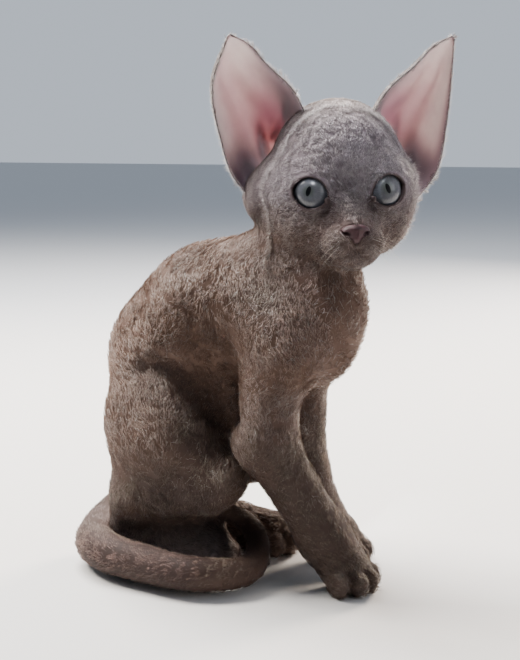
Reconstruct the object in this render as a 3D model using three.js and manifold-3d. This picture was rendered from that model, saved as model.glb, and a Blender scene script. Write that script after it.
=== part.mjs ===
// A Devon Rex kitten about twelve weeks old, sitting upright, its head turned over its right shoulder
// and its tail curled round its hind feet. Millimetres, +Z up, the body faces +X, its right side is -Y.
//
// Every fleshy piece is a sphere pulled over a bone: each vertex travels out from the bone until it meets
// the skin of a few soft masses melted together. A limb keeps its shape and the trunk is cut to fit it.
import * as THREE from "three";
import { mergeVertices } from "three/addons/utils/BufferGeometryUtils.js";
import Module from "manifold-3d";

const wasm = await Module();
wasm.setup();

// Driving dimensions
const HEAD_WIDTH = 74;
const EAR_LENGTH = 69; // tip above the middle of the eyes
const EAR_SPREAD = 104; // between the ear tips
const EAR_THICKNESS = 1.5;
const EYE_SPACING = 30.5; // between the centres of the eyeballs
const EYE_RADIUS = 9;
const LID_THICKNESS = 1.3;
const CHEST_WIDTH = 56;
const HIP_WIDTH = 64;
const FOREARM_RADIUS = 14.5;
const WRIST_RADIUS = 12.5;
const PAW_WIDTH = 30;
const TOE_HEIGHT = 15;
const TAIL_ROOT_RADIUS = 12;
const TAIL_TIP_RADIUS = 6.5;
const GAP = 0.3; // between touching pieces
const FLOOR_SINK = 1.2; // how far the soles press flat

const point = (x, y, z) => new THREE.Vector3(x, y, z);
const pair = (make) => [make(1), make(-1)];
const MIDLINE = -4; // of the trunk

// The distance from a point to an egg-shaped mass, negative inside it.
function egg(centre, radii, turn = new THREE.Quaternion()) {
  const back = turn.clone().invert();
  const deepest = -Math.min(radii.x, radii.y, radii.z);
  return (p) => {
    const q = p.clone().sub(centre).applyQuaternion(back);
    const share = q.clone().divide(radii).length();
    const slope = q.clone().divide(radii).divide(radii).length();
    return slope > 0 ? (share * (share - 1)) / slope : deepest;
  };
}

// The distance to a tapering limb between two joints.
function limb(from, to, startRadius, endRadius) {
  const line = new THREE.Line3(from, to);
  return (p) => {
    const share = line.closestPointToPointParameter(p, true);
    const radius = THREE.MathUtils.lerp(startRadius, endRadius, share);
    return line.at(share, point(0, 0, 0)).distanceTo(p) - radius;
  };
}

// Masses that run into one another over a soft distance.
function melt(softness, ...masses) {
  return (p) =>
    masses.map((mass) => mass(p)).reduce((a, b) => {
      const near = Math.max(softness - Math.abs(a - b), 0) / softness;
      return Math.min(a, b) - (near * near * softness) / 4;
    });
}

// What lies in both masses.
const within = (a, b, slack) => (p) => Math.max(a(p), b(p) - slack);

// How far a ray travels from inside a mass before it leaves it.
function reach(origin, direction, mass) {
  const stride = 2;
  const longest = 120;
  const halvings = 14;
  const isInside = (travel) => mass(origin.clone().addScaledVector(direction, travel)) < 0;
  let far = stride;
  while (far < longest && isInside(far)) far += stride;
  let near = far - stride;
  for (let i = 0; i < halvings; i++) {
    const middle = (near + far) / 2;
    if (isInside(middle)) near = middle;
    else far = middle;
  }
  return near;
}

// A sphere pulled over a bone. Its rings stand across the bone and its two poles close the ends.
// distance(origin, direction, share) says how far each vertex lies from the bone.
function pull(bone, distance, { rings, sides, across, caps = 0.22, grow = 0 }) {
  const sphere = new THREE.SphereGeometry(1, sides, rings);
  const position = sphere.getAttribute("position");
  const unit = point(0, 0, 0);
  for (let i = 0; i < position.count; i++) {
    unit.fromBufferAttribute(position, i);
    const polar = Math.acos(THREE.MathUtils.clamp(unit.y, -1, 1)) / Math.PI;
    const share = THREE.MathUtils.clamp((polar - caps) / (1 - 2 * caps), 0, 1);
    const lean = polar < caps ? polar / caps - 1 : polar > 1 - caps ? (polar - 1 + caps) / caps : 0;
    const along = bone.getTangentAt(share).normalize();
    const first = across.clone().addScaledVector(along, -across.dot(along)).normalize();
    const second = along.clone().cross(first);
    const turn = Math.atan2(unit.z, unit.x);
    const atPole = Math.abs(unit.y) > 1 - 1e-9;
    const direction = first.multiplyScalar(Math.cos(turn)).addScaledVector(second, Math.sin(turn));
    direction.multiplyScalar(atPole ? 0 : Math.cos((lean * Math.PI) / 2));
    direction.addScaledVector(along, Math.sin((lean * Math.PI) / 2)).normalize();
    const origin = bone.getPointAt(share);
    origin.addScaledVector(direction, distance(origin, direction, share) + grow);
    position.setXYZ(i, origin.x, origin.y, origin.z);
  }
  return sphere;
}

const toSkin = (mass) => (origin, direction) => reach(origin, direction, mass);
const curve = (...points) => new THREE.CatmullRomCurve3(points);

// A closed geometry as a solid that can be joined and cut.
function solid(geometry, matrix = new THREE.Matrix4()) {
  const bare = geometry.clone().applyMatrix4(matrix);
  for (const name of Object.keys(bare.attributes)) if (name !== "position") bare.deleteAttribute(name);
  const merged = mergeVertices(bare, 1e-4);
  const mesh = new wasm.Mesh({
    numProp: 3,
    vertProperties: new Float32Array(merged.getAttribute("position").array),
    triVerts: new Uint32Array(merged.index.array),
  });
  return new wasm.Manifold(mesh);
}

// A solid as a geometry again.
function geometryOf(made) {
  const mesh = made.getMesh();
  const geometry = new THREE.BufferGeometry();
  geometry.setAttribute("position", new THREE.BufferAttribute(mesh.vertProperties, 3));
  geometry.setIndex(new THREE.BufferAttribute(mesh.triVerts, 1));
  geometry.computeVertexNormals();
  return geometry;
}

// The largest closed surface of a solid.
function largest(made) {
  return made.decompose().reduce((a, b) => (a.volume() > b.volume() ? a : b));
}

// A thin square wafer across a bone, which parts a limb where a person would name a new piece.
function wafer(bone, share, size) {
  const turn = new THREE.Quaternion().setFromUnitVectors(point(0, 0, 1), bone.getTangentAt(share));
  const matrix = new THREE.Matrix4().compose(bone.getPointAt(share), turn, point(1, 1, 1));
  return solid(new THREE.BoxGeometry(size, size, GAP), matrix);
}

// The pieces left by wafers across a bone, in order from its start.
function parted(made, bone, cuts, size) {
  let rest = made;
  for (const share of cuts) rest = rest.subtract(wafer(bone, share, size));
  const ends = [0, ...cuts, 1];
  const pieces = rest.decompose();
  return ends.slice(1).map((end, i) => {
    const middle = bone.getPointAt((ends[i] + end) / 2);
    const probe = solid(new THREE.OctahedronGeometry(1.5).translate(middle.x, middle.y, middle.z));
    return pieces.reduce((a, b) => (a.intersect(probe).volume() >= b.intersect(probe).volume() ? a : b));
  });
}

const floor = solid(new THREE.BoxGeometry(600, 600, 100).translate(0, 0, -50));

// Trunk
const SPINE = curve(
  point(-46, MIDLINE, 34),
  point(-42, MIDLINE, 78),
  point(-18, MIDLINE, 116),
  point(18, MIDLINE, 128),
);
function tilt(degrees) {
  return new THREE.Quaternion().setFromAxisAngle(point(0, 1, 0), THREE.MathUtils.degToRad(degrees));
}
const rump = egg(point(-46, MIDLINE, 37), point(34, HIP_WIDTH / 2, 39));
const loin = limb(point(-47, MIDLINE, 66), point(-42, MIDLINE, 100), 33, 34);
const back = limb(point(-42, MIDLINE, 100), point(-22, MIDLINE, 128), 34, 30);
const arch = limb(point(-42, MIDLINE, 110), point(-32, MIDLINE, 122), 31.5, 31);
const ribs = limb(point(-22, MIDLINE, 128), point(20, MIDLINE, 128), 30, CHEST_WIDTH / 2);
const belly = egg(point(-16, MIDLINE, 92), point(30, CHEST_WIDTH / 2 - 3, 38), tilt(28));
const breast = egg(point(32, MIDLINE - 1, 125), point(25, 23, 34), tilt(6));
const withers = egg(point(-10, MIDLINE, 150), point(24, 16, 11.5), tilt(-20));
function shoulder(side) {
  return limb(point(-6, MIDLINE + side * 13, 146), point(28, MIDLINE + side * 20, 112), 12, 15);
}
const trunkMass = melt(12, rump, loin, back, arch, ribs, belly, breast, withers, ...pair(shoulder));

// Neck, from the withers up into the back of the head
const NECK = curve(point(8, MIDLINE, 138), point(26, -8, 160), point(38, -8, 184));
const neckMass = melt(
  10,
  limb(point(4, MIDLINE, 136), point(24, -7, 160), 25, 19),
  limb(point(24, -7, 160), point(38, -9, 186), 19, 19),
  limb(point(35, -7, 136), point(40, -13, 168), 20, 14.5),
);

// Forelegs
const FORELEGS = {
  right: {
    shoulder: point(20, -22, 120),
    elbow: point(16, -26, 70),
    wrist: point(40.5, -14.5, 25),
    knuckle: point(51.5, -14.5, 11.5),
    heading: -0.31,
  },
  left: {
    shoulder: point(20, 14, 120),
    elbow: point(11, 16, 73),
    wrist: point(22, 18, 25),
    knuckle: point(33.5, 19.5, 11.5),
    heading: 0.05,
  },
};

function foreleg(joints) {
  const upper = limb(joints.shoulder, joints.elbow, 15.5, FOREARM_RADIUS + 1);
  const lower = limb(joints.elbow, joints.wrist, FOREARM_RADIUS, WRIST_RADIUS);
  const palm = limb(joints.wrist, joints.knuckle, WRIST_RADIUS, PAW_WIDTH / 2 - 2);
  const own = melt(8, upper, lower, palm);
  const mass = within(melt(12, own, trunkMass), own, 3);
  const ahead = point(Math.cos(joints.heading), Math.sin(joints.heading), 0);
  const bone = curve(
    joints.shoulder.clone().lerp(joints.elbow, 0.2),
    joints.elbow,
    joints.wrist,
    joints.knuckle.clone().addScaledVector(ahead, 3),
  );
  const shape = { rings: 16, sides: 12, across: point(0, 1, 0), caps: 0.16 };
  return { bone, ahead, skin: pull(bone, toSkin(mass), shape) };
}

// The region of the flesh that a foreleg is taken from.
function forelegRegion(joints, side) {
  const start = joints.shoulder.clone().add(point(-6, side * 5, 10));
  const elbow = joints.elbow.clone().add(point(2, side * 5, 0));
  const bone = curve(start, elbow, joints.wrist, joints.knuckle);
  const shape = { rings: 8, sides: 10, across: point(0, 1, 0), caps: 0.2 };
  const distance = (origin, direction, share) => THREE.MathUtils.lerp(21, 30, share);
  return (grow) => pull(bone, distance, { ...shape, grow });
}

// Four toes in an arc across the front of a paw.
function toes(knuckle, ahead, width, length) {
  const aside = point(-ahead.y, ahead.x, 0);
  return [-1.5, -0.5, 0.5, 1.5].map((place) => {
    const inner = Math.abs(place) < 1;
    const centre = knuckle.clone().addScaledVector(aside, (place * width) / 4.3);
    centre.addScaledVector(ahead, length * (inner ? 0.8 : 0.4));
    centre.z = TOE_HEIGHT / 2 - FLOOR_SINK;
    const splay = ahead.clone().addScaledVector(aside, place * 0.14).normalize();
    const turn = new THREE.Quaternion().setFromUnitVectors(point(1, 0, 0), splay);
    const size = point(length * 0.62, width / 6.4, TOE_HEIGHT / 2);
    return new THREE.SphereGeometry(1, 7, 5).applyMatrix4(new THREE.Matrix4().compose(centre, turn, size));
  });
}

// Hind legs, folded under the body
const HIND_LEGS = {
  right: {
    hip: point(-46, -22, 68),
    knee: point(-4, -29, 51),
    calf: point(-55, -28, 36),
    hock: point(-66, -23, 13),
    knuckle: point(-20, -15, 9),
    heading: 0.12,
  },
  left: {
    hip: point(-46, 14, 68),
    knee: point(-4, 24, 54),
    calf: point(-52, 22, 36),
    hock: point(-56, 20, 13),
    knuckle: point(-2, 19, 9),
    heading: 0.05,
  },
};

// The folded thigh: a broad haunch with the knee in front of it.
function thigh(joints, side) {
  const middle = joints.hip.clone().add(point(7, side * 6, 2));
  const haunch = egg(middle, point(33, 18, 36), tilt(-12));
  const knee = limb(middle.clone().add(point(0, side * -7, -10)), joints.knee, 23, 13);
  const own = melt(9, haunch, knee);
  const mass = within(melt(7, own, trunkMass), own, 3);
  const bone = curve(joints.hip.clone().lerp(joints.knee, 0.2), joints.hip.clone().lerp(joints.knee, 0.85));
  return pull(bone, toSkin(mass), { rings: 12, sides: 16, across: point(0, 1, 0), caps: 0.34 });
}

// An egg-shaped region of the flesh, which a piece is taken from.
function region(middle, radii, sides = 14) {
  return (grow) => {
    const size = radii.clone().addScalar(grow);
    const ball = new THREE.SphereGeometry(1, sides, Math.round(sides * 0.65));
    return ball.scale(size.x, size.y, size.z).translate(middle.x, middle.y, middle.z);
  };
}

function thighRegion(joints, side) {
  const middle = joints.hip.clone().lerp(joints.knee, 0.36).add(point(0, side * 20, 2));
  return region(middle, point(43, 32, 42));
}

function shank(joints, side) {
  const knee = joints.knee.clone().add(point(-8, 0, -8));
  const mass = melt(6, limb(knee, joints.calf, 13, 13), limb(joints.calf, joints.hock, 13, 10));
  const bone = curve(knee, joints.calf, joints.hock.clone().add(point(1, 0, 3)));
  const middle = knee.clone().lerp(joints.hock, 0.52).add(point(0, side * 8, 0));
  return {
    skin: pull(bone, toSkin(mass), { rings: 10, sides: 10, across: point(0, 1, 0) }),
    region: region(middle, point(43, 20, 29), 12),
  };
}

function hindFoot(joints) {
  const ahead = point(Math.cos(joints.heading), Math.sin(joints.heading), 0);
  const instep = joints.hock.clone().lerp(joints.knuckle, 0.6);
  const mass = melt(5, limb(joints.hock, instep, 10.5, 12), limb(instep, joints.knuckle, 12, 12));
  const bone = curve(joints.hock, joints.knuckle);
  const shape = { rings: 8, sides: 8, across: point(0, 1, 0) };
  const outline = curve(joints.hock, joints.knuckle.clone().addScaledVector(ahead, 12));
  const distance = (origin, direction, share) => THREE.MathUtils.lerp(13, 19, share);
  return {
    skins: [pull(bone, toSkin(mass), shape), ...toes(joints.knuckle, ahead, PAW_WIDTH - 3, 11)],
    region: (grow) => pull(outline, distance, { ...shape, grow }),
  };
}

// Tail, out to the right behind the haunch, along the floor and round the toes
const TAIL = curve(
  point(-69, -4, 26),
  point(-77, -17, 17),
  point(-73.5, -37, 12),
  point(-59, -49, 11.5),
  point(-34, -54, 11),
  point(-8, -54.5, 10.5),
  point(7, -44, 9.5),
  point(10, -27, 9),
  point(5, -12, 14),
  point(-4, -5, 21),
  point(-15, -7, 26),
);
const tailRadius = (share) => THREE.MathUtils.lerp(TAIL_ROOT_RADIUS, TAIL_TIP_RADIUS, share ** 2);
const tailTube = (grow) =>
  pull(TAIL, (origin, direction, share) => tailRadius(share), {
    rings: 44,
    sides: 10,
    across: point(0, 0, 1),
    caps: 0.05,
    grow,
  });

// Head, in its own frame: +X out of the face, +Y to the cat's left, +Z up, its origin between the eyes
const HEAD_PLACE = point(54.9, -22, 186);
const HEAD_TURN = [1.8, 0.8, -56.8].map(THREE.MathUtils.degToRad);
const headFrame = new THREE.Group();
headFrame.position.copy(HEAD_PLACE);
headFrame.rotation.set(...HEAD_TURN, "ZYX");
headFrame.updateMatrixWorld(true);

const cranium = egg(point(-30, 0, 11), point(30, 31, 31));
const nape = egg(point(-42, 0, -4), point(18, 24, 20));
// The loose skin that gathers below the right ear as the head turns that way
const gather = egg(point(-32, -30, -3), point(13, 14.5, 15));
const brow = egg(point(-12, 0, 12), point(16, 21, 19));
const orbit = (side) => egg(point(-9.5, side * 16.5, 1), point(12.5, 13, 13));
const temple = (side) => egg(point(-25, side * (HEAD_WIDTH / 2 - 12), -1), point(18, 12, 16));
const cheek = (side) => egg(point(-14, side * 20, -14), point(15, 10.5, 12));
const jaw = (side) => limb(point(-24, side * 16, -20), point(2, side * 6, -26), 10, 6);
const muzzle = egg(point(3, 0, -19), point(13, 13, 11));
const bridge = limb(point(-5, 0, -0.5), point(13, 0, -13.5), 9, 5.2);
const pad = (side) => egg(point(10.5, side * 6.2, -21.5), point(8, 7.4, 6.6));
const chin = egg(point(8, 0, -29), point(6.5, 7, 5));
const eyeCentre = (side) => point(-4, (side * EYE_SPACING) / 2, 0);

const sidesOfSkull = [temple, cheek, jaw, orbit].flatMap(pair);
const skull = melt(10, cranium, nape, gather, brow, ...sidesOfSkull, muzzle);
const headMass = melt(4, skull, bridge, ...pair(pad), chin);
const HEAD_BONE = curve(point(-36, 0, 3), point(-18, 0, -3), point(-1, 0, -15));
const headShape = { rings: 28, sides: 30, across: point(0, 1, 0), caps: 0.32 };
const headSkin = (grow) => pull(HEAD_BONE, toSkin(headMass), { ...headShape, grow });

// The almond opening between the lids, as a prism along the eye's axis.
function lidOpening(side) {
  const width = -side * 6.9; // towards the nose
  const height = 6.3;
  const turnOut = 0.34; // of the eye's axis from straight ahead
  const almond = new THREE.Shape();
  almond.moveTo(-width, 0.9);
  almond.bezierCurveTo(-width * 0.75, height * 1.25, width * 0.4, height * 1.35, width, -1.2);
  almond.bezierCurveTo(width * 0.5, -height * 1.3, -width * 0.75, -height * 1.2, -width, 0.9);
  const prism = new THREE.ExtrudeGeometry(almond, { depth: 30, bevelEnabled: false, curveSegments: 8 });
  const aim = point(Math.cos(turnOut), side * Math.sin(turnOut), 0);
  const aside = point(0, 0, 1).cross(aim).normalize();
  const upward = aim.clone().cross(aside);
  const place = new THREE.Matrix4().makeBasis(aside, upward, aim);
  return solid(prism, place.setPosition(eyeCentre(side).addScaledVector(aim, 1)));
}

// Ears: each a cup of half ellipses strung between its inner edge, its deepest line and its outer edge.
// The right ear stands a little steeper than the left.
const EAR_LEAN = 4.5;

function earLines(side) {
  const place = ([x, y, z], lean) => {
    const height = Math.max(0, z - 30) / (EAR_LENGTH - 30);
    return point(x, side * y + EAR_LEAN * lean * height, z - side * 1.5 * height);
  };
  const tip = place([-33, EAR_SPREAD / 2, EAR_LENGTH], 1);
  const line = (lean, ...points) => curve(...points.map((spot) => place(spot, lean)), tip);
  return {
    inner: line(1, [-22, 14, 30], [-24, 22, 44], [-28, 35, 56], [-31, 43, 64.5]),
    deep: line(0.3, [-44, 24, 12], [-52, 33, 26], [-52, 43, 42], [-45, 50.5, 58]),
    outer: line(0, [-28, 31, -8], [-32, 45, 8], [-35, 51.5, 24], [-35.5, 55.5, 47]),
  };
}

// A slab's back and front are split into triangles alike, so that they never cross.
function alike(slab) {
  const { start, count } = slab.groups[5];
  const index = slab.index;
  for (let i = start; i < start + count; i += 6) {
    const [a, b, d, , c] = index.array.slice(i, i + 6);
    index.array.set([a, b, c, a, c, d], i);
  }
  return slab;
}

function ear(side) {
  const lines = earLines(side);
  const slab = alike(new THREE.BoxGeometry(1, 1, 1, 9, 10, 1));
  const position = slab.getAttribute("position");
  const at = (turn, share) => {
    const inner = lines.inner.getPoint(share);
    const outer = lines.outer.getPoint(share);
    const middle = inner.clone().lerp(outer, 0.5);
    const half = outer.clone().sub(middle);
    const depth = lines.deep.getPoint(share).sub(middle);
    return middle.addScaledVector(half, Math.cos(turn)).addScaledVector(depth, Math.sin(turn));
  };
  const step = 0.01;
  for (let i = 0; i < position.count; i++) {
    const turn = (0.5 - side * position.getX(i)) * Math.PI;
    const share = THREE.MathUtils.lerp(0.02, 0.97, position.getY(i) + 0.5);
    const along = at(turn, share + step).sub(at(turn, share - step));
    const around = at(turn + step, share).sub(at(turn - step, share));
    const outward = around.cross(along).multiplyScalar(side).normalize();
    const thickness = EAR_THICKNESS * THREE.MathUtils.lerp(1, 0.6, share);
    const place = at(turn, share).addScaledVector(outward, -position.getZ(i) * thickness);
    position.setXYZ(i, place.x, place.y, place.z);
  }
  return slab;
}

// Assembly
const cat = new THREE.Group();
const coat = new THREE.MeshStandardMaterial({ color: 0x6d5348, roughness: 0.95, metalness: 0 });
const earSkin = new THREE.MeshStandardMaterial({ color: 0xb58480, roughness: 0.8, metalness: 0 });
const iris = new THREE.MeshStandardMaterial({ color: 0x6d7c86, roughness: 0.08, metalness: 0 });
const noseLeather = new THREE.MeshStandardMaterial({ color: 0x6e4642, roughness: 0.55, metalness: 0 });

function addPiece(name, made, material, parent = cat) {
  const mesh = new THREE.Mesh(geometryOf(made), material);
  mesh.name = name;
  parent.add(mesh);
}

const SIDES = [
  ["left", 1],
  ["right", -1],
];
const trunkShape = { rings: 27, sides: 24, across: point(0, 1, 0), caps: 0.3 };
const neckShape = { rings: 9, sides: 16, across: point(0, 1, 0), caps: 0.2 };
let flesh = solid(pull(SPINE, toSkin(trunkMass), trunkShape));
flesh = flesh.add(solid(pull(NECK, toSkin(neckMass), neckShape)));
flesh = flesh.subtract(solid(headSkin(GAP), headFrame.matrixWorld));
for (const [name, side] of SIDES) {
  const fore = FORELEGS[name];
  const hind = HIND_LEGS[name];
  const leg = foreleg(fore);
  const growths = [
    leg.skin,
    ...toes(fore.knuckle, leg.ahead, PAW_WIDTH, 13),
    thigh(hind, side),
    shank(hind, side).skin,
    ...hindFoot(hind).skins,
  ];
  for (const growth of growths) flesh = flesh.add(solid(growth));
}
flesh = largest(flesh.subtract(solid(tailTube(GAP))).subtract(floor));

// A piece of the flesh, taken out of it with a gap left all round.
function take(region) {
  const piece = largest(flesh.intersect(solid(region(0))));
  flesh = flesh.subtract(solid(region(GAP)));
  return piece;
}

for (const [name, side] of SIDES) {
  const joints = HIND_LEGS[name];
  addPiece(`hindfoot_${name}`, take(hindFoot(joints).region), coat);
  addPiece(`thigh_${name}`, take(thighRegion(joints, side)), coat);
  addPiece(`shank_${name}`, take(shank(joints, side).region), coat);
}
for (const [name, side] of SIDES) {
  const joints = FORELEGS[name];
  const pieces = parted(take(forelegRegion(joints, side)), foreleg(joints).bone, [0.36, 0.8], 60);
  ["upper", "lower"].forEach((part, i) => addPiece(`foreleg_${name}_${part}`, pieces[i], coat));
  addPiece(`forepaw_${name}`, pieces[2], coat);
}
const [torso, neck] = flesh
  .subtract(wafer(NECK, 0.4, 130))
  .decompose()
  .sort((a, b) => b.volume() - a.volume());
addPiece("torso", torso, coat);
addPiece("neck", neck, coat);
const tail = largest(solid(tailTube(0)).subtract(floor));
const tailPieces = parted(tail, TAIL, [0.24, 0.52, 0.76], 30);
tailPieces.forEach((piece, i) => addPiece(`tail_${i + 1}`, piece, coat));

// Nose leather, wider above than below, with two nostrils
const noseMass = melt(
  2,
  egg(point(15.5, 0, -14.6), point(4, 5, 2.6)),
  egg(point(15.5, 0, -18), point(3.6, 2.6, 3.4)),
  ...pair((side) => egg(point(14.6, side * 3.4, -16.4), point(3.8, 2.5, 2.6))),
);
const NOSE_BONE = curve(point(13.2, 0, -15.5), point(14.4, 0, -16.4));
const noseShape = { rings: 8, sides: 12, across: point(0, 1, 0), caps: 0.4 };
const noseSkin = (grow) => pull(NOSE_BONE, toSkin(noseMass), { ...noseShape, grow });
function nostril(side) {
  const hollow = new THREE.SphereGeometry(1, 8, 6).scale(2.4, 1.5, 0.95).rotateX(side * 0.5);
  return hollow.translate(18.2, side * 3.2, -16.6);
}

// The lines of the mouth, laid on the skin: a ray from inside the head finds each point
function onFace(aside, height) {
  const origin = point(-4, aside * 0.5, height + 3);
  const direction = point(22, aside * 1.1, height - 1).sub(origin).normalize();
  return origin.addScaledVector(direction, reach(origin, direction, headMass));
}
const MOUTH_HALF_WIDTH = 12;
const MOUTH_HEIGHT = -25.6;
const MOUTH_SAG = 2.2;
function mouthHeight(aside) {
  return MOUTH_HEIGHT - MOUTH_SAG * Math.sin((Math.abs(aside) / MOUTH_HALF_WIDTH) * Math.PI * 0.75);
}
const lip = Array.from({ length: 11 }, (_, i) => {
  const aside = (i / 5 - 1) * MOUTH_HALF_WIDTH;
  return onFace(aside, mouthHeight(aside));
});
const philtrum = [-20, -22, -24, -26].map((height) => onFace(0, height));
function groove(points, radius, steps) {
  const round = new THREE.Shape().absarc(0, 0, radius, 0, Math.PI * 2);
  const along = { steps, curveSegments: 3, bevelEnabled: false, extrudePath: curve(...points) };
  return solid(new THREE.ExtrudeGeometry(round, along));
}

let head = solid(headSkin(0));
for (const [name, side] of SIDES) {
  const centre = eyeCentre(side);
  const ball = (radius) => solid(new THREE.SphereGeometry(radius, 14, 9).translate(centre.x, centre.y, centre.z));
  head = head.add(ball(EYE_RADIUS + LID_THICKNESS));
  head = head.subtract(ball(EYE_RADIUS + GAP)).subtract(lidOpening(side));
  addPiece(`eye_${name}`, ball(EYE_RADIUS), iris, headFrame);
  const pinna = solid(ear(side)).subtract(solid(headSkin(GAP)));
  addPiece(`ear_${name}`, largest(pinna), earSkin, headFrame);
}
head = head.subtract(solid(noseSkin(GAP)));
head = head.subtract(groove(lip, 0.8, 14));
head = head.subtract(groove(philtrum, 0.7, 4));
let nose = solid(noseSkin(0));
for (const [, side] of SIDES) nose = nose.subtract(solid(nostril(side)));
addPiece("nose", largest(nose), noseLeather, headFrame);
addPiece("head", largest(head), coat, headFrame);
cat.add(headFrame);

// The origin is on the floor, under the middle of the whole
const extent = new THREE.Box3().setFromObject(cat, true);
cat.position.set(-(extent.min.x + extent.max.x) / 2, -(extent.min.y + extent.max.y) / 2, 0);

export default cat;
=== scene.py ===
"""A Devon Rex kitten about twelve weeks old, sitting upright, its head turned over its right shoulder.

The skin is the closed surface of soft masses that melt into one another, a coat's depth inside the solids.
Short tufts of fur stand on it and follow the lie of the coat. Sizes are in millimetres, in the kitten's own
frame: +Z up, the body faces +X, its right side is -Y. place() moves them into the frame's metres.
"""

import math

import bmesh
import bpy
import numpy as np
import openvdb
from mathutils import Euler, Matrix, Vector


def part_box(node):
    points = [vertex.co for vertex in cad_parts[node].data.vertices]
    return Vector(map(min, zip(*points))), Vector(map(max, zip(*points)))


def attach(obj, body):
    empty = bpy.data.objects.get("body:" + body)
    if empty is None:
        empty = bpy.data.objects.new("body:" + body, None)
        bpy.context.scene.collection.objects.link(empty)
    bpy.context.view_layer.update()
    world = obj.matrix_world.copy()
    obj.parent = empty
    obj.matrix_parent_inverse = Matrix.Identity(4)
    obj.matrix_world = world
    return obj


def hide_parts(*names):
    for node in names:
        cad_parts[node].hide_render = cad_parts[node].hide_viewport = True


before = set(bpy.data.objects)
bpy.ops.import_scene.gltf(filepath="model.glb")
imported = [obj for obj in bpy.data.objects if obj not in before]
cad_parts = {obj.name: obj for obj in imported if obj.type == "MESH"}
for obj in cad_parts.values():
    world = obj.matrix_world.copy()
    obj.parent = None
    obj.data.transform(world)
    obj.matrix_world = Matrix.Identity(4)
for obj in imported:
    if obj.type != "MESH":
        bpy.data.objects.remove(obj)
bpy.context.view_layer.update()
MM = 0.001

# Driving dimensions, in millimetres
HEAD_WIDTH = 74
EAR_LENGTH = 69
EAR_SPREAD = 104
EYE_SPACING = 30.5
EYE_RADIUS = 9
CHEST_WIDTH = 56
HIP_WIDTH = 64
FOREARM_RADIUS = 14.5
WRIST_RADIUS = 12.5
PAW_WIDTH = 30
TOE_HEIGHT = 15
TAIL_ROOT_RADIUS = 12
TAIL_TIP_RADIUS = 6.5
FLOOR_SINK = 1.2
MIDLINE = -4
SIDES = {"left": 1, "right": -1}

# The head's own frame: +X out of the face, +Y to the kitten's left, its origin between the eyes' fronts
HEAD_PLACE = np.array([54.9, -22, 186])
HEAD_TURN = np.array(Euler([math.radians(a) for a in (1.8, 0.8, -56.8)], "XYZ").to_matrix())


def into_head(p):
    return (p - HEAD_PLACE) @ HEAD_TURN


def out_of_head(h):
    return np.asarray(h, float) @ HEAD_TURN.T + HEAD_PLACE


def eye_centre(side):
    return np.array([-4, side * EYE_SPACING / 2, 0])


EYE_BOX = np.array(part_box("eye_left")) / MM
ORIGIN = EYE_BOX.mean(0) - out_of_head(eye_centre(1))


def place(p):
    """Points of the kitten's own frame, in the frame's metres."""
    return (np.asarray(p, float) + ORIGIN) * MM


# Soft masses: each is a function that gives the distance of many points from its surface, negative inside
FAR = 1e3


def spot(*xyz):
    return np.array(xyz, float)


def tilt(degrees):
    a = math.radians(degrees)
    return np.array([[math.cos(a), 0, math.sin(a)], [0, 1, 0], [-math.sin(a), 0, math.cos(a)]])


def egg(centre, radii, turn=None):
    def distance(p):
        q = p - centre
        if turn is not None:
            q = q @ turn
        q = q / radii
        share = np.sqrt((q * q).sum(-1))
        q = q / radii
        slope = np.sqrt((q * q).sum(-1))
        return share * (share - 1) / np.maximum(slope, 1e-6)

    return distance


def ball(centre, radius):
    return lambda p: np.linalg.norm(p - centre, axis=-1) - radius


def limb(start, end, start_radius, end_radius):
    along = end - start

    def distance(p):
        q = p - start
        share = np.clip(q @ along / (along @ along), 0, 1)
        q = q - share[..., None] * along
        return np.sqrt((q * q).sum(-1)) - (start_radius + share * (end_radius - start_radius))

    return distance


def blend(softness, a, b):
    """The softened lower of two distances."""
    near = np.clip(softness - np.abs(a - b), 0, None) / softness
    return np.minimum(a, b) - near * near * softness / 4


def melt(softness, *masses):
    def distance(p):
        total = masses[0](p)
        for mass in masses[1:]:
            total = blend(softness, total, mass(p))
        return total

    return distance


def both_sides(make):
    return [make(1), make(-1)]


def smooth(share):
    share = np.clip(share, 0, 1)
    return share * share * (3 - 2 * share)


def hump(distance, size):
    """1 at a place, and fading to nothing past its size."""
    return np.exp(-(distance / size) ** 2)


class Curve:
    """A centripetal Catmull-Rom curve through a few points."""

    def __init__(self, *points):
        points = np.array(points, float)
        self.points = np.vstack([2 * points[0] - points[1], points, 2 * points[-1] - points[-2]])
        self.spans = len(points) - 1

    def at(self, share):
        """Points at shares from 0 to 1, with an even share for each span."""
        travel = np.clip(np.atleast_1d(share), 0, 1) * self.spans
        span = np.minimum(travel.astype(int), self.spans - 1)
        t = (travel - span)[:, None]
        a, b, c, d = (self.points[span + i] for i in range(4))
        gap = [np.sqrt(np.linalg.norm(q - p, axis=-1))[:, None] for p, q in ((a, b), (b, c), (c, d))]
        leave = ((b - a) / gap[0] - (c - a) / (gap[0] + gap[1]) + (c - b) / gap[1]) * gap[1]
        reach = ((c - b) / gap[1] - (d - b) / (gap[1] + gap[2]) + (d - c) / gap[2]) * gap[1]
        return b + t * (leave + t * (3 * (c - b) - 2 * leave - reach + t * (leave + reach - 2 * (c - b))))

    def even(self, count):
        """Points spaced evenly by length."""
        steps = 40 * self.spans
        fine = self.at(np.linspace(0, 1, steps + 1))
        run = np.concatenate([[0], np.cumsum(np.linalg.norm(np.diff(fine, axis=0), axis=1))])
        want = np.linspace(0, run[-1], count)
        return np.stack([np.interp(want, run, fine[:, i]) for i in range(3)], -1)


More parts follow.
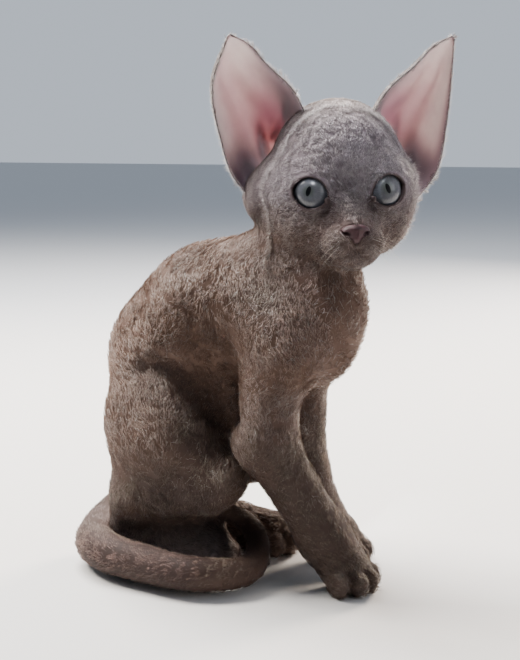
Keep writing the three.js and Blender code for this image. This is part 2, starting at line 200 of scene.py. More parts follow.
# Trunk and neck
BREAST = egg(spot(32, MIDLINE - 1, 125), spot(25, 23, 34), tilt(6))
TRUNK = melt(
    12,
    egg(spot(-46, MIDLINE, 37), spot(34, HIP_WIDTH / 2, 39)),
    limb(spot(-47, MIDLINE, 66), spot(-42, MIDLINE, 100), 33, 34),
    limb(spot(-42, MIDLINE, 100), spot(-22, MIDLINE, 128), 34, 30),
    limb(spot(-42, MIDLINE, 110), spot(-32, MIDLINE, 122), 31.5, 31),
    limb(spot(-22, MIDLINE, 128), spot(20, MIDLINE, 128), 30, CHEST_WIDTH / 2),
    egg(spot(-16, MIDLINE, 92), spot(30, CHEST_WIDTH / 2 - 3, 38), tilt(28)),
    BREAST,
    egg(spot(-10, MIDLINE, 150), spot(24, 16, 11.5), tilt(-20)),
    *both_sides(lambda side: limb(
        spot(-6, MIDLINE + side * 13, 146), spot(28, MIDLINE + side * 20, 112), 12, 15)),
)
NECK = melt(
    10,
    limb(spot(4, MIDLINE, 136), spot(24, -7, 160), 25, 19),
    limb(spot(24, -7, 160), spot(38, -9, 186), 19, 19),
    limb(spot(35, -7, 136), spot(40, -13, 168), 20, 14.5),
)

# Legs
FORELEGS = {
    "right": dict(shoulder=spot(20, -22, 120), elbow=spot(16, -26, 70), wrist=spot(40.5, -14.5, 25),
                  knuckle=spot(51.5, -14.5, 11.5), heading=-0.31),
    "left": dict(shoulder=spot(20, 14, 120), elbow=spot(11, 16, 73), wrist=spot(22, 18, 25),
                 knuckle=spot(33.5, 19.5, 11.5), heading=0.05),
}
HIND_LEGS = {
    "right": dict(hip=spot(-46, -22, 68), knee=spot(-4, -29, 51), calf=spot(-55, -28, 36),
                  hock=spot(-66, -23, 13), knuckle=spot(-20, -15, 9), heading=0.12),
    "left": dict(hip=spot(-46, 14, 68), knee=spot(-4, 24, 54), calf=spot(-52, 22, 36),
                 hock=spot(-56, 20, 13), knuckle=spot(-2, 19, 9), heading=0.05),
}
TOES_ACROSS = 4.3
TOE_SPLAY = 0.14


def toes(knuckle, heading, width, length):
    """Four toes in an arc, melted just enough to keep the clefts between them."""
    ahead = spot(math.cos(heading), math.sin(heading), 0)
    aside = spot(-ahead[1], ahead[0], 0)
    masses = []
    for share in (-1.5, -0.5, 0.5, 1.5):
        reach = length * (0.8 if abs(share) < 1 else 0.4)
        centre = knuckle + aside * share * width / TOES_ACROSS + ahead * reach
        centre[2] = TOE_HEIGHT / 2 - FLOOR_SINK
        way = ahead + aside * share * TOE_SPLAY
        turn = np.array(Matrix.Rotation(math.atan2(way[1], way[0]), 3, "Z"))
        masses.append(egg(centre, spot(length * 0.62, width / 6.4, TOE_HEIGHT / 2), turn))
    return melt(1.2, *masses)


def toe_tip(leg):
    return leg["knuckle"] + spot(math.cos(leg["heading"]), math.sin(leg["heading"]), -0.3) * 14


def foreleg(name):
    leg = FORELEGS[name]
    length = melt(
        8,
        limb(leg["shoulder"], leg["elbow"], 15.5, FOREARM_RADIUS + 1),
        limb(leg["elbow"], leg["wrist"], FOREARM_RADIUS, WRIST_RADIUS),
        limb(leg["wrist"], leg["knuckle"], WRIST_RADIUS, PAW_WIDTH / 2 - 2),
    )
    return melt(2.5, length, toes(leg["knuckle"], leg["heading"], PAW_WIDTH, 13))


def thigh(name):
    leg = HIND_LEGS[name]
    side = SIDES[name]
    haunch = leg["hip"] + spot(7, side * 6, 2)
    return melt(9, egg(haunch, spot(33, 18, 36), tilt(-12)),
                limb(haunch - spot(0, side * 7, 10), leg["knee"], 23, 13))


def shank(name):
    leg = HIND_LEGS[name]
    knee = leg["knee"] - spot(8, 0, 8)
    return melt(6, limb(knee, leg["calf"], 13, 13), limb(leg["calf"], leg["hock"], 13, 10))


def hind_foot(name):
    leg = HIND_LEGS[name]
    instep = leg["hock"] + (leg["knuckle"] - leg["hock"]) * 0.6
    sole = melt(5, limb(leg["hock"], instep, 10.5, 12), limb(instep, leg["knuckle"], 12, 12))
    return melt(2.5, sole, toes(leg["knuckle"], leg["heading"], PAW_WIDTH - 3, 11))


# Tail, out to the right behind the haunch, along the floor and round the toes
TAIL_LINE = Curve(
    (-69, -4, 26), (-77, -17, 17), (-73.5, -37, 12), (-59, -49, 11.5), (-34, -54, 11), (-8, -54.5, 10.5),
    (7, -44, 9.5), (10, -27, 9), (5, -12, 14), (-4, -5, 21), (-15, -7, 26),
)
TAIL_SPOTS = TAIL_LINE.even(60)


def tail(p):
    total = np.full(p.shape[:-1], FAR)
    last = len(TAIL_SPOTS) - 2
    for i in range(last + 1):
        radius = [TAIL_ROOT_RADIUS + (TAIL_TIP_RADIUS - TAIL_ROOT_RADIUS) * ((i + k) / (last + 1)) ** 2
                  for k in (0, 1)]
        total = np.minimum(total, limb(TAIL_SPOTS[i], TAIL_SPOTS[i + 1], *radius)(p))
    return total


# Head
PADS = both_sides(lambda side: egg(spot(10.5, side * 6.2, -21.5), spot(8, 7.4, 6.6)))
SKULL = melt(
    10,
    egg(spot(-30, 0, 11), spot(30, 31, 31)),
    egg(spot(-42, 0, -4), spot(18, 24, 20)),
    egg(spot(-32, -30, -3), spot(13, 14.5, 15)),
    egg(spot(-12, 0, 12), spot(16, 21, 19)),
    *both_sides(lambda side: egg(spot(-25, side * (HEAD_WIDTH / 2 - 12), -1), spot(18, 12, 16))),
    *both_sides(lambda side: egg(spot(-14, side * 20, -14), spot(15, 10.5, 12))),
    *both_sides(lambda side: limb(spot(-24, side * 16, -20), spot(2, side * 6, -26), 10, 6)),
    *both_sides(lambda side: egg(spot(-9.5, side * 16.5, 1), spot(12.5, 13, 13))),
    egg(spot(3, 0, -19), spot(13, 13, 11)),
)
HEAD = melt(4, SKULL, limb(spot(-5, 0, -0.5), spot(13, 0, -13.5), 9, 5.2), *PADS,
            egg(spot(8, 0, -29), spot(6.5, 7, 5)))

NOSE = melt(
    2,
    egg(spot(15.5, 0, -15.0), spot(4, 4.2, 2.3)),
    egg(spot(15.5, 0, -18), spot(3.6, 2.6, 3.4)),
    *both_sides(lambda side: egg(spot(14.6, side * 4.0, -16.6), spot(3.7, 2.7, 2.5))),
)

# The coat of each part: length of its fur, depth of the skin below the fur tips, tufts per square
# centimetre, and how far its waves swing the fur aside
COATS = {
    "face": dict(length=1.7, depth=0.5, tufts=44, wave=0.2),
    "crown": dict(length=3.2, depth=1.3, tufts=24, wave=0.4),
    "neck": dict(length=4.6, depth=2.0, tufts=18, wave=0.7),
    "chest": dict(length=7.4, depth=2.6, tufts=23, wave=1.0),
    "back": dict(length=4.7, depth=2.0, tufts=17.5, wave=0.6),
    "thigh": dict(length=4.3, depth=1.8, tufts=19, wave=0.5),
    "shank": dict(length=3.8, depth=1.6, tufts=17, wave=0.4),
    "foreleg": dict(length=3.7, depth=1.5, tufts=21, wave=0.5),
    "foot": dict(length=2.1, depth=0.9, tufts=19, wave=0.2),
    "tail": dict(length=6.0, depth=2.4, tufts=20, wave=0.25),
}
THICKEST = max(coat["tufts"] for coat in COATS.values())


def shape_parts(p):
    """The distance of each part of the body, and the head's own coordinates."""
    h = into_head(p)
    parts = {"back": TRUNK(p), "neck": NECK(p), "crown": HEAD(h), "tail": tail(p)}
    for name in SIDES:
        parts[f"foreleg_{name}"] = foreleg(name)(p)
        parts[f"thigh_{name}"] = thigh(name)(p)
        parts[f"shank_{name}"] = shank(name)(p)
        parts[f"foot_{name}"] = hind_foot(name)(p)
    return parts, h


COAT_FADE = 6.0


def coat_weights(p, parts, h):
    """How much each kind of coat counts at a point."""
    kinds = {
        "back": parts["back"],
        "neck": parts["neck"],
        "chest": np.maximum(BREAST(p), 28 - p[..., 0]) - 2,
        "crown": parts["crown"],
        "face": np.maximum(parts["crown"], -(h[..., 0] + 12 - 0.25 * np.abs(h[..., 2] - 4)) * 0.5) - 1,
        "tail": parts["tail"] - 1,
        "thigh": np.minimum(parts["thigh_left"], parts["thigh_right"]),
        "shank": np.minimum(parts["shank_left"], parts["shank_right"]),
        "foreleg": np.minimum(parts["foreleg_left"], parts["foreleg_right"]),
    }
    paws = np.minimum(parts["foreleg_left"], parts["foreleg_right"])
    feet = np.minimum(parts["foot_left"], parts["foot_right"])
    kinds["foot"] = np.minimum(np.maximum(paws, (p[..., 2] - 20) * 0.5) - 2, feet - 1)
    weights = {kind: np.exp(-np.clip(distance, -20, 60) / COAT_FADE) for kind, distance in kinds.items()}
    total = sum(weights.values())
    return {kind: weight / total for kind, weight in weights.items()}


def coat_value(weights, key):
    return sum(weight * COATS[kind][key] for kind, weight in weights.items())


# Face details, all in the head's frame
LID_THICKNESS = 1.1
LID_TURN_OUT = 0.34
LID_ROLL = 0.3
LID_HALF_WIDTH = 7.9
UPPER_LID = 6.8
LOWER_LID = 6.4
EYE_GAP = 0.12
TEAR_CORNER = 1.3
LID_FOLD_AT = 2.6
LID_FOLD_HEIGHT = 0.25
LID_FOLD_WIDTH = 0.7
LIP_GROOVE = 0.45
PHILTRUM_GROOVE = 0.35
NOSE_BED = 0.4


def eye_axes(side):
    """The way an eye looks, the way to its outer corner, and the way up across its lids."""
    aim = spot(math.cos(LID_TURN_OUT), side * math.sin(LID_TURN_OUT), 0)
    outward = spot(-math.sin(LID_TURN_OUT), side * math.cos(LID_TURN_OUT), 0)
    up = spot(0, 0, 1)
    along_lids = outward * math.cos(LID_ROLL) + up * math.sin(LID_ROLL)
    across_lids = up * math.cos(LID_ROLL) - outward * math.sin(LID_ROLL)
    return aim, along_lids, across_lids


def lid_opening(h, side):
    """Distance from the opening between the lids: what two arcs share, with a small inner corner."""
    q = h - eye_centre(side)
    aim, outward, up = eye_axes(side)
    across, height, ahead = q @ outward, q @ up, q @ aim
    arcs = []
    for rise, sign in ((UPPER_LID, 1), (LOWER_LID, -1)):
        radius = (LID_HALF_WIDTH ** 2 + rise ** 2) / (2 * rise)
        arcs.append(np.hypot(across, height - sign * (rise - radius)) - radius)
    opening = np.maximum(*arcs)
    corner = np.hypot(np.clip(across + LID_HALF_WIDTH + 0.5, None, 0) + np.clip(across + 5.5, 0, None),
                      height + 0.8) - 0.6
    return np.maximum(blend(1.0, opening, corner), -ahead)


def on_face(aside, height):
    """Where a ray from inside the head meets the skin of the face."""
    start = spot(-4, aside * 0.5, height + 3)
    way = spot(22, aside * 1.1, height - 1) - start
    way /= np.linalg.norm(way)
    travel = np.linspace(0, 40, 801)
    inside = HEAD(start + travel[:, None] * way) < -COATS["face"]["depth"]
    return start + way * travel[np.argmin(inside)]


MOUTH_HALF_WIDTH = 12
MOUTH_HEIGHT = -25.6
MOUTH_SAG = 2.2


def mouth_height(aside):
    return MOUTH_HEIGHT - MOUTH_SAG * math.sin(abs(aside) / MOUTH_HALF_WIDTH * math.pi * 0.75)


LIP_SPOTS = np.linspace(-MOUTH_HALF_WIDTH, MOUTH_HALF_WIDTH, 17)
LIP_LINE = [on_face(aside, mouth_height(aside)) for aside in LIP_SPOTS]
PHILTRUM = [on_face(0, height) for height in (-20, -22, -24, -26)]


def along_line(points, radius, h):
    total = np.full(h.shape[:-1], FAR)
    for start, end in zip(points, points[1:]):
        total = np.minimum(total, limb(start, end, radius, radius)(h))
    return total


def carve(softness, a, b):
    """A distance with another pressed out of it."""
    return -blend(softness, -a, b)


def face(h, coat):
    """The head's skin with its lids, sockets, lips and nose bed, worked out near the front only."""
    near = np.flatnonzero((np.abs(coat) < 8) & (h[..., 0] > -14) & (np.abs(h[..., 2] + 8) < 30))
    q = h[near]
    near_skin = coat[near]
    for side in (1, -1):
        centre = eye_centre(side)
        aim, outward, up = eye_axes(side)
        lids = ball(centre, EYE_RADIUS + LID_THICKNESS)(q)
        opening = lid_opening(q, side)
        near_skin = blend(3.0, near_skin, lids)
        near_skin = carve(0.7, near_skin, opening)
        near_skin = carve(0.3, near_skin, ball(centre, EYE_RADIUS + EYE_GAP)(q))
        tear_place = centre + aim * 6.2 - outward * (LID_HALF_WIDTH + 0.2) - up * 0.9
        near_skin = np.minimum(near_skin, ball(tear_place, TEAR_CORNER)(q))
        off_fold = np.abs(opening - LID_FOLD_AT) + np.abs(lids) * 0.3
        near_skin = near_skin + LID_FOLD_HEIGHT * hump(off_fold, LID_FOLD_WIDTH)
    near_skin = carve(0.8, near_skin, along_line(LIP_LINE, LIP_GROOVE, q))
    near_skin = carve(0.9, near_skin, along_line(PHILTRUM, PHILTRUM_GROOVE, q))
    near_skin = carve(0.5, near_skin, NOSE(q) + NOSE_BED)
    out = coat.copy()
    out[near] = near_skin
    return out


# Folds of loose skin on the flanks: how deep and how soft each is, and its line from the side, as x and z
FOLDS = [
    (2.8, 7, [(-48, 99), (-42, 103), (-34, 104), (-26, 101), (-20, 93), (-13, 84), (-6, 75), (4, 64)]),
    (3.0, 12, [(-20, 108), (-14, 98), (-8, 88), (-2, 76)]),
    (0.9, 6, [(-19, 130), (-17, 116), (-14, 103)]),
    (1.0, 6, [(-10, 110), (-7, 99), (-2, 87)]),
    (1.5, 7, [(-1, 114), (1, 99), (4, 84), (8, 70)]),
]
FOLD_RUN_OUT = 4


def side_surface(x, z, side):
    """The spot where the trunk or thigh is met, straight from the side."""
    travel = np.linspace(60, 0, 241)
    spots = np.stack([np.full_like(travel, x), MIDLINE + side * travel, np.full_like(travel, z)], -1)
    name = "left" if side > 0 else "right"
    inside = np.minimum(TRUNK(spots), thigh(name)(spots)) < -1
    return spots[np.argmax(inside)]


FOLD_LINES = [(depth, softness, [side_surface(x, z, side) for x, z in line])
              for depth, softness, line in FOLDS for side in (1, -1)]


def pressed_line(points, depth, p):
    """Distance from a line whose groove is deepest halfway and runs out at both ends."""
    total = np.full(p.shape[:-1], FAR)
    last = len(points) - 1

    def groove(i):
        off_middle = abs(2 * i / last - 1)
        return depth * (1 - off_middle ** 2) - FOLD_RUN_OUT * off_middle ** 3

    for i in range(last):
        total = np.minimum(total, limb(points[i], points[i + 1], groove(i), groove(i + 1))(p))
    return total


def skin(p):
    """Distance from the kitten's skin."""
    parts, h = shape_parts(p)
    body = blend(12, parts["back"], parts["neck"])
    total = blend(6, body, parts["crown"])
    for name in SIDES:
        hind = blend(9, parts[f"thigh_{name}"], parts[f"shank_{name}"])
        hind = blend(5, hind, parts[f"foot_{name}"])
        total = np.minimum(total, blend(7, body, hind))
        total = np.minimum(total, blend(12, body, parts[f"foreleg_{name}"]))
    for fold_depth, softness, line in FOLD_LINES:
        total = carve(softness, total, pressed_line(line, fold_depth, p))
    total = np.minimum(total, parts["tail"])
    depth = coat_value(coat_weights(p, parts, h), "depth")
    total = face(h, total + depth)
    return np.maximum(total, 0.4 - p[..., 2])


# Meshes
GRID_REACH = 3.0
GRID_BATCH = 200000
CELL_DIAGONAL = 1.7
NEAR_MARGIN = 1


def level_surface(distance, low, high, step, stride=4):
    """The closed surface where a distance is zero, as vertices and quads, with a rough grid far from it."""
    counts = [int(math.ceil((b - a) / step / stride)) * stride for a, b in zip(low, high)]
    axes = [a + np.arange(count) * step for a, count in zip(low, counts)]
    corners = np.stack(np.meshgrid(*(axis[::stride] for axis in axes), indexing="ij"), -1)
    rough = distance(corners.reshape(-1, 3)).reshape([count // stride for count in counts])
    for axis in range(3):
        rough = np.repeat(rough, stride, axis)
    field = np.clip(rough / step, -GRID_REACH, GRID_REACH)
    near = np.argwhere(np.abs(rough) < stride * step * CELL_DIAGONAL + NEAR_MARGIN)
    spots = np.asarray(low) + near * step
    batches = np.array_split(spots, max(1, len(spots) // GRID_BATCH))
    exact = np.concatenate([distance(batch) for batch in batches])
    field[tuple(near.T)] = np.clip(exact / step, -GRID_REACH, GRID_REACH)
    grid = openvdb.FloatGrid(GRID_REACH)
    grid.copyFromArray(field.astype(np.float32))
    vertices, quads = grid.convertToQuads(isovalue=0.0)
    return np.asarray(low) + vertices.astype(float) * step, quads[:, ::-1].astype(int)


def settle(distance, vertices, rounds=2):
    """Moves vertices onto the surface where a distance is zero."""
    width, longest, least_slope = 0.05, 0.5, 0.25
    for _ in range(rounds):
        here = distance(vertices)
        slope = np.stack([(distance(vertices + step) - here) / width for step in np.eye(3) * width], -1)
        steep = np.maximum((slope * slope).sum(-1), least_slope)
        travel = np.clip(here / steep, -longest, longest)
        vertices = vertices - slope * travel[:, None]
    return vertices


def put_in_scene(name, data):
    piece = bpy.data.objects.new(name, data)
    bpy.context.collection.objects.link(piece)
    return piece


def mesh_object(name, vertices, faces):
    mesh = bpy.data.meshes.new(name)
    mesh.from_pydata(place(vertices).tolist(), [], [list(map(int, face)) for face in faces])
    mesh.shade_smooth()
    return put_in_scene(name, mesh)


def make_plain(piece):
    """Applies a piece's modifiers and takes them off."""
    whole = bpy.data.meshes.new_from_object(piece.evaluated_get(bpy.context.evaluated_depsgraph_get()))
    piece.modifiers.clear()
    piece.data = whole


def values_of(items, key, width=1, kind=float):
    """A number, or a vector, for each item of a mesh."""
    flat = np.empty(len(items) * width, kind)
    items.foreach_get(key, flat)
    return flat if width == 1 else flat.reshape(-1, width)


def vertices_of(piece):
    """A piece's vertices in the kitten's own frame."""
    return values_of(piece.data.vertices, "co", 3) / MM - ORIGIN


def move_vertices(piece, vertices):
    piece.data.vertices.foreach_set("co", place(vertices).ravel())
    piece.data.update()


# The skin is fine ahead of and above the face's bounds, and coarser behind and below them
FACE_BACK = -16
FACE_LOW = -33
FACE_STEP = 0.62
BODY_STEP = 2.0
SKIN_OVERLAP = 0.6


def make_skin():
    """One closed skin: fine over the face, coarser elsewhere, joined where both follow the same surface."""
    def face_zone(h):
        return np.maximum(FACE_BACK - h[..., 0], FACE_LOW - h[..., 2])

    def face_part(h):
        return np.maximum(skin(out_of_head(h)), face_zone(h))

    def body_part(p):
        return np.maximum(skin(p), -face_zone(into_head(p)) - SKIN_OVERLAP)

    fine_vertices, fine_faces = level_surface(face_part, (-19, -44, -36), (24, 44, 46), FACE_STEP)
    coarse_vertices, coarse_faces = level_surface(body_part, (-96, -72, -3), (92, 56, 238), BODY_STEP)
    piece = mesh_object("skin", out_of_head(fine_vertices), fine_faces)
    rest = mesh_object("rest", coarse_vertices, coarse_faces)
    join = piece.modifiers.new("join", "BOOLEAN")
    join.operation = "UNION"
    join.solver = "MANIFOLD"
    join.object = rest
    make_plain(piece)
    bpy.data.objects.remove(rest)
    move_vertices(piece, settle(skin, vertices_of(piece)))
    piece.data.shade_smooth()
    return piece


skin_piece = make_skin()

# The way the fur lies: from a start to an end, and how wide around that line it holds
FLOWS = [
    ((-2, -4, 152), (-34, -4, 134), 26),
    ((-34, -4, 134), (-60, -4, 100), 26),
    ((-62, -4, 100), (-76, -4, 50), 28),
    ((-74, -4, 50), (-78, -4, 14), 24),
    ((46, -4, 160), (56, -4, 122), 18),
    ((56, -4, 122), (40, -4, 84), 20),
    ((40, -4, 84), (10, -4, 60), 24),
    ((22, -4, 178), (-4, -4, 152), 20),
]
for side in (1, -1):
    FLOWS += [
        ((0, side * 28 - 4, 140), (-14, side * 30 - 4, 104), 24),
        ((-14, side * 30 - 4, 104), (-30, side * 30 - 4, 70), 24),
        ((24, side * 24 - 4, 130), (18, side * 26 - 4, 84), 20),
        ((34, side * 20 - 6, 172), (24, side * 22 - 4, 140), 18),
        ((-50, side * 40 - 4, 96), (-34, side * 44 - 4, 56), 24),
        ((-34, side * 44 - 4, 56), (-50, side * 40 - 4, 28), 20),
        ((-10, side * 40 - 4, 68), (-16, side * 42 - 4, 40), 16),
    ]
for leg in FORELEGS.values():
    bends = [leg["shoulder"] + spot(4, 0, -30), leg["elbow"], leg["wrist"], leg["knuckle"], toe_tip(leg)]
    FLOWS += [(a, b, 14) for a, b in zip(bends, bends[1:])]
for leg in HIND_LEGS.values():
    bends = [leg["calf"], leg["hock"], leg["knuckle"], toe_tip(leg)]
    FLOWS += [(a, b, 10) for a, b in zip(bends, bends[1:])]
FLOWS += [(a, b, 7) for a, b in zip(TAIL_SPOTS[2:], TAIL_SPOTS[3:])]
HEAD_FLOWS = [
    ((16, 0, -12), (-2, 0, 14), 9),
    ((-2, 0, 14), (-22, 0, 40), 16),
    ((-22, 0, 40), (-52, 0, 34), 18),
    ((-58, 0, 30), (-62, 0, -6), 20),
]
for side in (1, -1):
    HEAD_FLOWS += [
        ((8, side * 12, -18), (-22, side * 32, -14), 13),
        ((2, side * 12, -8), (-20, side * 32, 0), 11),
        ((10, side * 4, -31), (-24, side * 16, -33), 13),
        ((-8, side * 18, 14), (-34, side * 34, 20), 13),
        ((18, side * 4, -20), (8, side * 14, -26), 6),
    ]
FLOWS += [(out_of_head(a), out_of_head(b), width) for a, b, width in HEAD_FLOWS]


def ripple(p, size, seed):
    """A smooth wandering value from -1 to 1 that repeats nowhere near."""
    waves, height = 6, 3.2
    draw = np.random.default_rng(seed)
    total = np.zeros(p.shape[:-1])
    for _ in range(waves):
        way = draw.normal(size=3)
        way *= 2 * math.pi / size / np.linalg.norm(way) * draw.uniform(0.7, 1.4)
        total += np.sin(p @ way + draw.uniform(0, 6.3))
    return total / height


def lie_of_fur(p):
    """The way the fur points, as weighed up from the flows nearby."""
    total = np.zeros_like(p)
    for start, end, width in FLOWS:
        start, end = np.asarray(start, float), np.asarray(end, float)
        strength = hump(limb(start, end, 0, 0)(p), width)
        total += strength[:, None] * (end - start) / np.linalg.norm(end - start)
    return total + 1e-9


def turned(way, normal, angle):
    """Ways swung about their normals."""
    swing = np.cross(normal, way)
    return way * np.cos(angle)[:, None] + swing * np.sin(angle)[:, None]


def write_attribute(mesh, name, values, domain="POINT"):
    """Writes a number, or a vector, on each vertex or face corner."""
    values = np.asarray(values, np.float32)
    single = values.ndim == 1
    attribute = mesh.attributes.new(name, "FLOAT" if single else "FLOAT_VECTOR", domain)
    attribute.data.foreach_set("value" if single else "vector", values.ravel())


# Darker places on both sides of the face, partly its own darker fur and partly painted shade: from a start
# to an end, their size and their strength
FACE_DUSK_AND_SHADE = [
    (spot(-6, 0, 8), spot(10, 0, -8), 8, 0.7),
    (spot(-2, 7, 0), spot(6, 9, -13), 5, 0.5),
    (spot(-2, 12, -11), spot(-6, 21, -9), 4, 0.4),
    (spot(-6, 7, 17), spot(-14, 12, 30), 8, 0.35),
    (spot(12, 7, -22), spot(6, 11, -25), 8, 0.7),
    (spot(9, 0, -27), spot(4, 0, -33), 8, 0.65),
    (spot(-12, 18, -24), spot(-30, 20, -26), 12, 0.6),
    (spot(-8, 22, -12), spot(-28, 30, -14), 11, 0.55),
    (spot(-40, 24, -16), spot(-52, 14, -24), 14, 0.55),
]

# Painted shade on both sides of the body, at the shoulder, neck, foreleg, thigh and rump: how far forward,
# from the midline and up, their size and strength
PAINTED_SHADE_BODY = [
    (20, 26, 138, 15, 0.51),
    (27, 14, 158, 12, 0.9),
    (30, 24, 58, 20, 0.72),
    (-12, 36, 70, 20, 0.8),
    (-70, 20, 62, 16, 0.43),
]

# Painted shade in the hollow under the right thigh, and a painted highlight on the top of the right haunch
UNDER_THIGH_SHADE = limb(spot(-38, -38, 40), spot(-8, -38, 44), 0, 0)
HAUNCH_HIGHLIGHT = ball(spot(-36, -42, 96), 0)

# The middle of the mouth's line is all that shows through the fur
MOUTH_SEEN = LIP_LINE[5:12]
WAVE_LENGTH = 22


def coat_marks_and_painted_light(p, h, weights):
    """How grey, how dusky and how pale the coat is at each point: its own markings, with painted shade and
    painted light.
    """
    x, y, z = p.T
    ahead, height = h[:, 0], h[:, 2]
    # Painted light on the hind feet: kept clear of the painted shade, and the right one made greyer and
    # paler
    hind_feet = weights["foot"] * smooth((32 - z) / 8) * (x < 20)
    right_foot_painted_light = hind_feet * smooth((-2 - y) / 10)
    grey = weights["face"] * 0.95 * (0.3 + 0.7 * smooth((height + 14) / 16))
    grey += weights["crown"] * 0.75 * smooth((ahead + 50) / 40) * smooth((height + 22) / 20)
    grey += 0.5 * right_foot_painted_light
    # Painted shade low on the body: the legs, and less the thigh and chest, darker the nearer the floor
    legs = weights["foreleg"] + weights["shank"] + weights["foot"]
    low = np.clip(legs + 0.5 * weights["thigh"] + 0.5 * weights["chest"], 0, 1)
    dusk = 0.75 * low * smooth((115 - z) / 70)
    # Painted shade on the tail, less of it towards its front
    dusk = np.maximum(dusk, weights["tail"] * (0.95 - 0.35 * smooth((x + 10) / 25)))
    # Painted shade under the right thigh, kept off the hind feet
    dusk = np.maximum(dusk, 0.9 * hump(UNDER_THIGH_SHADE(p), 20)) * (1 - hind_feet)
    for side in (1, -1):
        flip = spot(1, side, 1)
        # The face's own darker fur, with painted shade
        for start, end, size, strength in FACE_DUSK_AND_SHADE:
            away = limb(start * flip, end * flip, 0, 0)(h)
            dusk = np.maximum(dusk, strength * hump(away, size))
        # Painted shade at places on the body
        for forward, aside, up, size, strength in PAINTED_SHADE_BODY:
            away = ball(spot(forward, MIDLINE + side * aside, up), 0)(p)
            dusk = np.maximum(dusk, strength * hump(away, size) * (1 - weights["face"]))
    pale = 0.9 * weights["crown"] * smooth((height - 24) / 20)
    # A painted highlight on the top of the right haunch
    pale = np.maximum(pale, 0.15 * hump(HAUNCH_HIGHLIGHT(p), 15))
    # Painted light on the right hind foot
    pale = np.maximum(pale, 0.35 * right_foot_painted_light)
    return np.stack([grey, dusk, pale], -1)


def mark_skin(piece):
    """Writes on the skin what the fur needs: its lie, length, number, and the coat's markings with their
    painted shade and light.
    """
    p = vertices_of(piece)
    parts, h = shape_parts(p)
    weights = coat_weights(p, parts, h)
    normal = values_of(piece.data.vertices, "normal", 3)
    way = lie_of_fur(p)
    way -= (way * normal).sum(-1, keepdims=True) * normal
    way /= np.maximum(np.linalg.norm(way, axis=-1, keepdims=True), 1e-9)
    swing = coat_value(weights, "wave") * ripple(p, WAVE_LENGTH, 5)
    write_attribute(piece.data, "lie", turned(way, normal, swing))
    write_attribute(piece.data, "length", coat_value(weights, "length") * MM)
    lids = np.minimum(lid_opening(h, 1), lid_opening(h, -1))
    lips = np.minimum(along_line(MOUTH_SEEN, 0, h), along_line(PHILTRUM, 0, h) + 0.2)
    cover = np.minimum(smooth((lids - 0.6) / 1.6), smooth((NOSE(h) - 0.1) / 0.7))
    cover = np.minimum(cover, smooth((lips - 0.4) / 0.9))
    write_attribute(piece.data, "cover", cover * coat_value(weights, "tufts") / THICKEST)
    write_attribute(piece.data, "marks_and_painted_light", coat_marks_and_painted_light(p, h, weights))
    rim = (1 - smooth(np.minimum((lids - 0.2) / 1.4, (lips - 0.4) / 0.7))) * (h[:, 0] > -20)
    write_attribute(piece.data, "rim", rim)
    return weights


skin_weights = mark_skin(skin_piece)
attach(skin_piece, "root")
FLESH = ["head", "neck", "torso"] + [f"tail_{i}" for i in range(1, 5)]
for name in SIDES:
    FLESH += [f"foreleg_{name}_upper", f"foreleg_{name}_lower", f"forepaw_{name}"]
    FLESH += [f"thigh_{name}", f"shank_{name}", f"hindfoot_{name}"]
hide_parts(*FLESH)


# Nodes
def socket_of(sockets, key):
    """A socket in use, by its name, or any by its number."""
    return sockets[key] if isinstance(key, int) else next(s for s in sockets if s.enabled and s.name == key)


def output(node, key=None):
    return next(s for s in node.outputs if s.enabled) if key is None else socket_of(node.outputs, key)


def add_node(tree, kind, settings=None, inputs=None):
    """A node with its settings. Each input is a value, a socket, or a node whose first output it takes."""
    node = tree.nodes.new(kind)
    for key, value in (settings or {}).items():
        setattr(node, key, value)
    for key, value in (inputs or {}).items():
        socket = socket_of(node.inputs, key)
        if isinstance(value, bpy.types.Node):
            value = output(value)
        if isinstance(value, bpy.types.NodeSocket):
            tree.links.new(value, socket)
        else:
            socket.default_value = value
    return node


def colour(code):
    """An sRGB hex colour as linear RGBA."""
    values = [int(code[i:i + 2], 16) / 255 for i in (1, 3, 5)]
    return [v / 12.92 if v <= 0.04045 else ((v + 0.055) / 1.055) ** 2.4 for v in values] + [1]


def tinted(tree, base, *layers):
    """A colour with tints laid over it in turn, each as strong as its mask."""
    for mask, tint in layers:
        base = add_node(tree, "ShaderNodeMix", {"data_type": "RGBA"},
                        {"Factor": mask, "A": base, "B": colour(tint)})
    return base


def per_metre(size):
    """How many cells of a pattern fit in a metre, from the size of one in millimetres."""
    return 1 / (size * MM)


def new_material(name):
    material = bpy.data.materials.new(name)
    material.use_nodes = True
    material.node_tree.nodes.clear()
    return material, material.node_tree


def finish_material(tree, shader):
    add_node(tree, "ShaderNodeOutputMaterial", inputs={"Surface": shader})


# The coat: its colours, and the sizes of its patches and waves in millimetres
COAT_ROOT = "#3b2e29"
COAT_DARK = "#604539"
COAT_LIGHT = "#8a6c5b"
COAT_SHEEN = "#e2d4c8"
# FACE_GREY and CROWN_PALE also lay painted light on the right hind foot, CROWN_PALE a painted highlight on
# the haunch, and the dusky tint painted shade low on the body, on the tail and on the face
FACE_GREY = "#8f8690"
DUSKY_AND_SHADE = "#2b2222"
CROWN_PALE = "#c4b5af"
LID_DARK = "#4b3c3e"
HAIR_GLINT = "#fff4ea"
COAT_PATCH = 1000 / 45
COAT_WAVE = 1000 / 130
DOWN_GRAIN = 1000 / 900
FUR_SCATTER = (1.0, 0.95, 0.9)


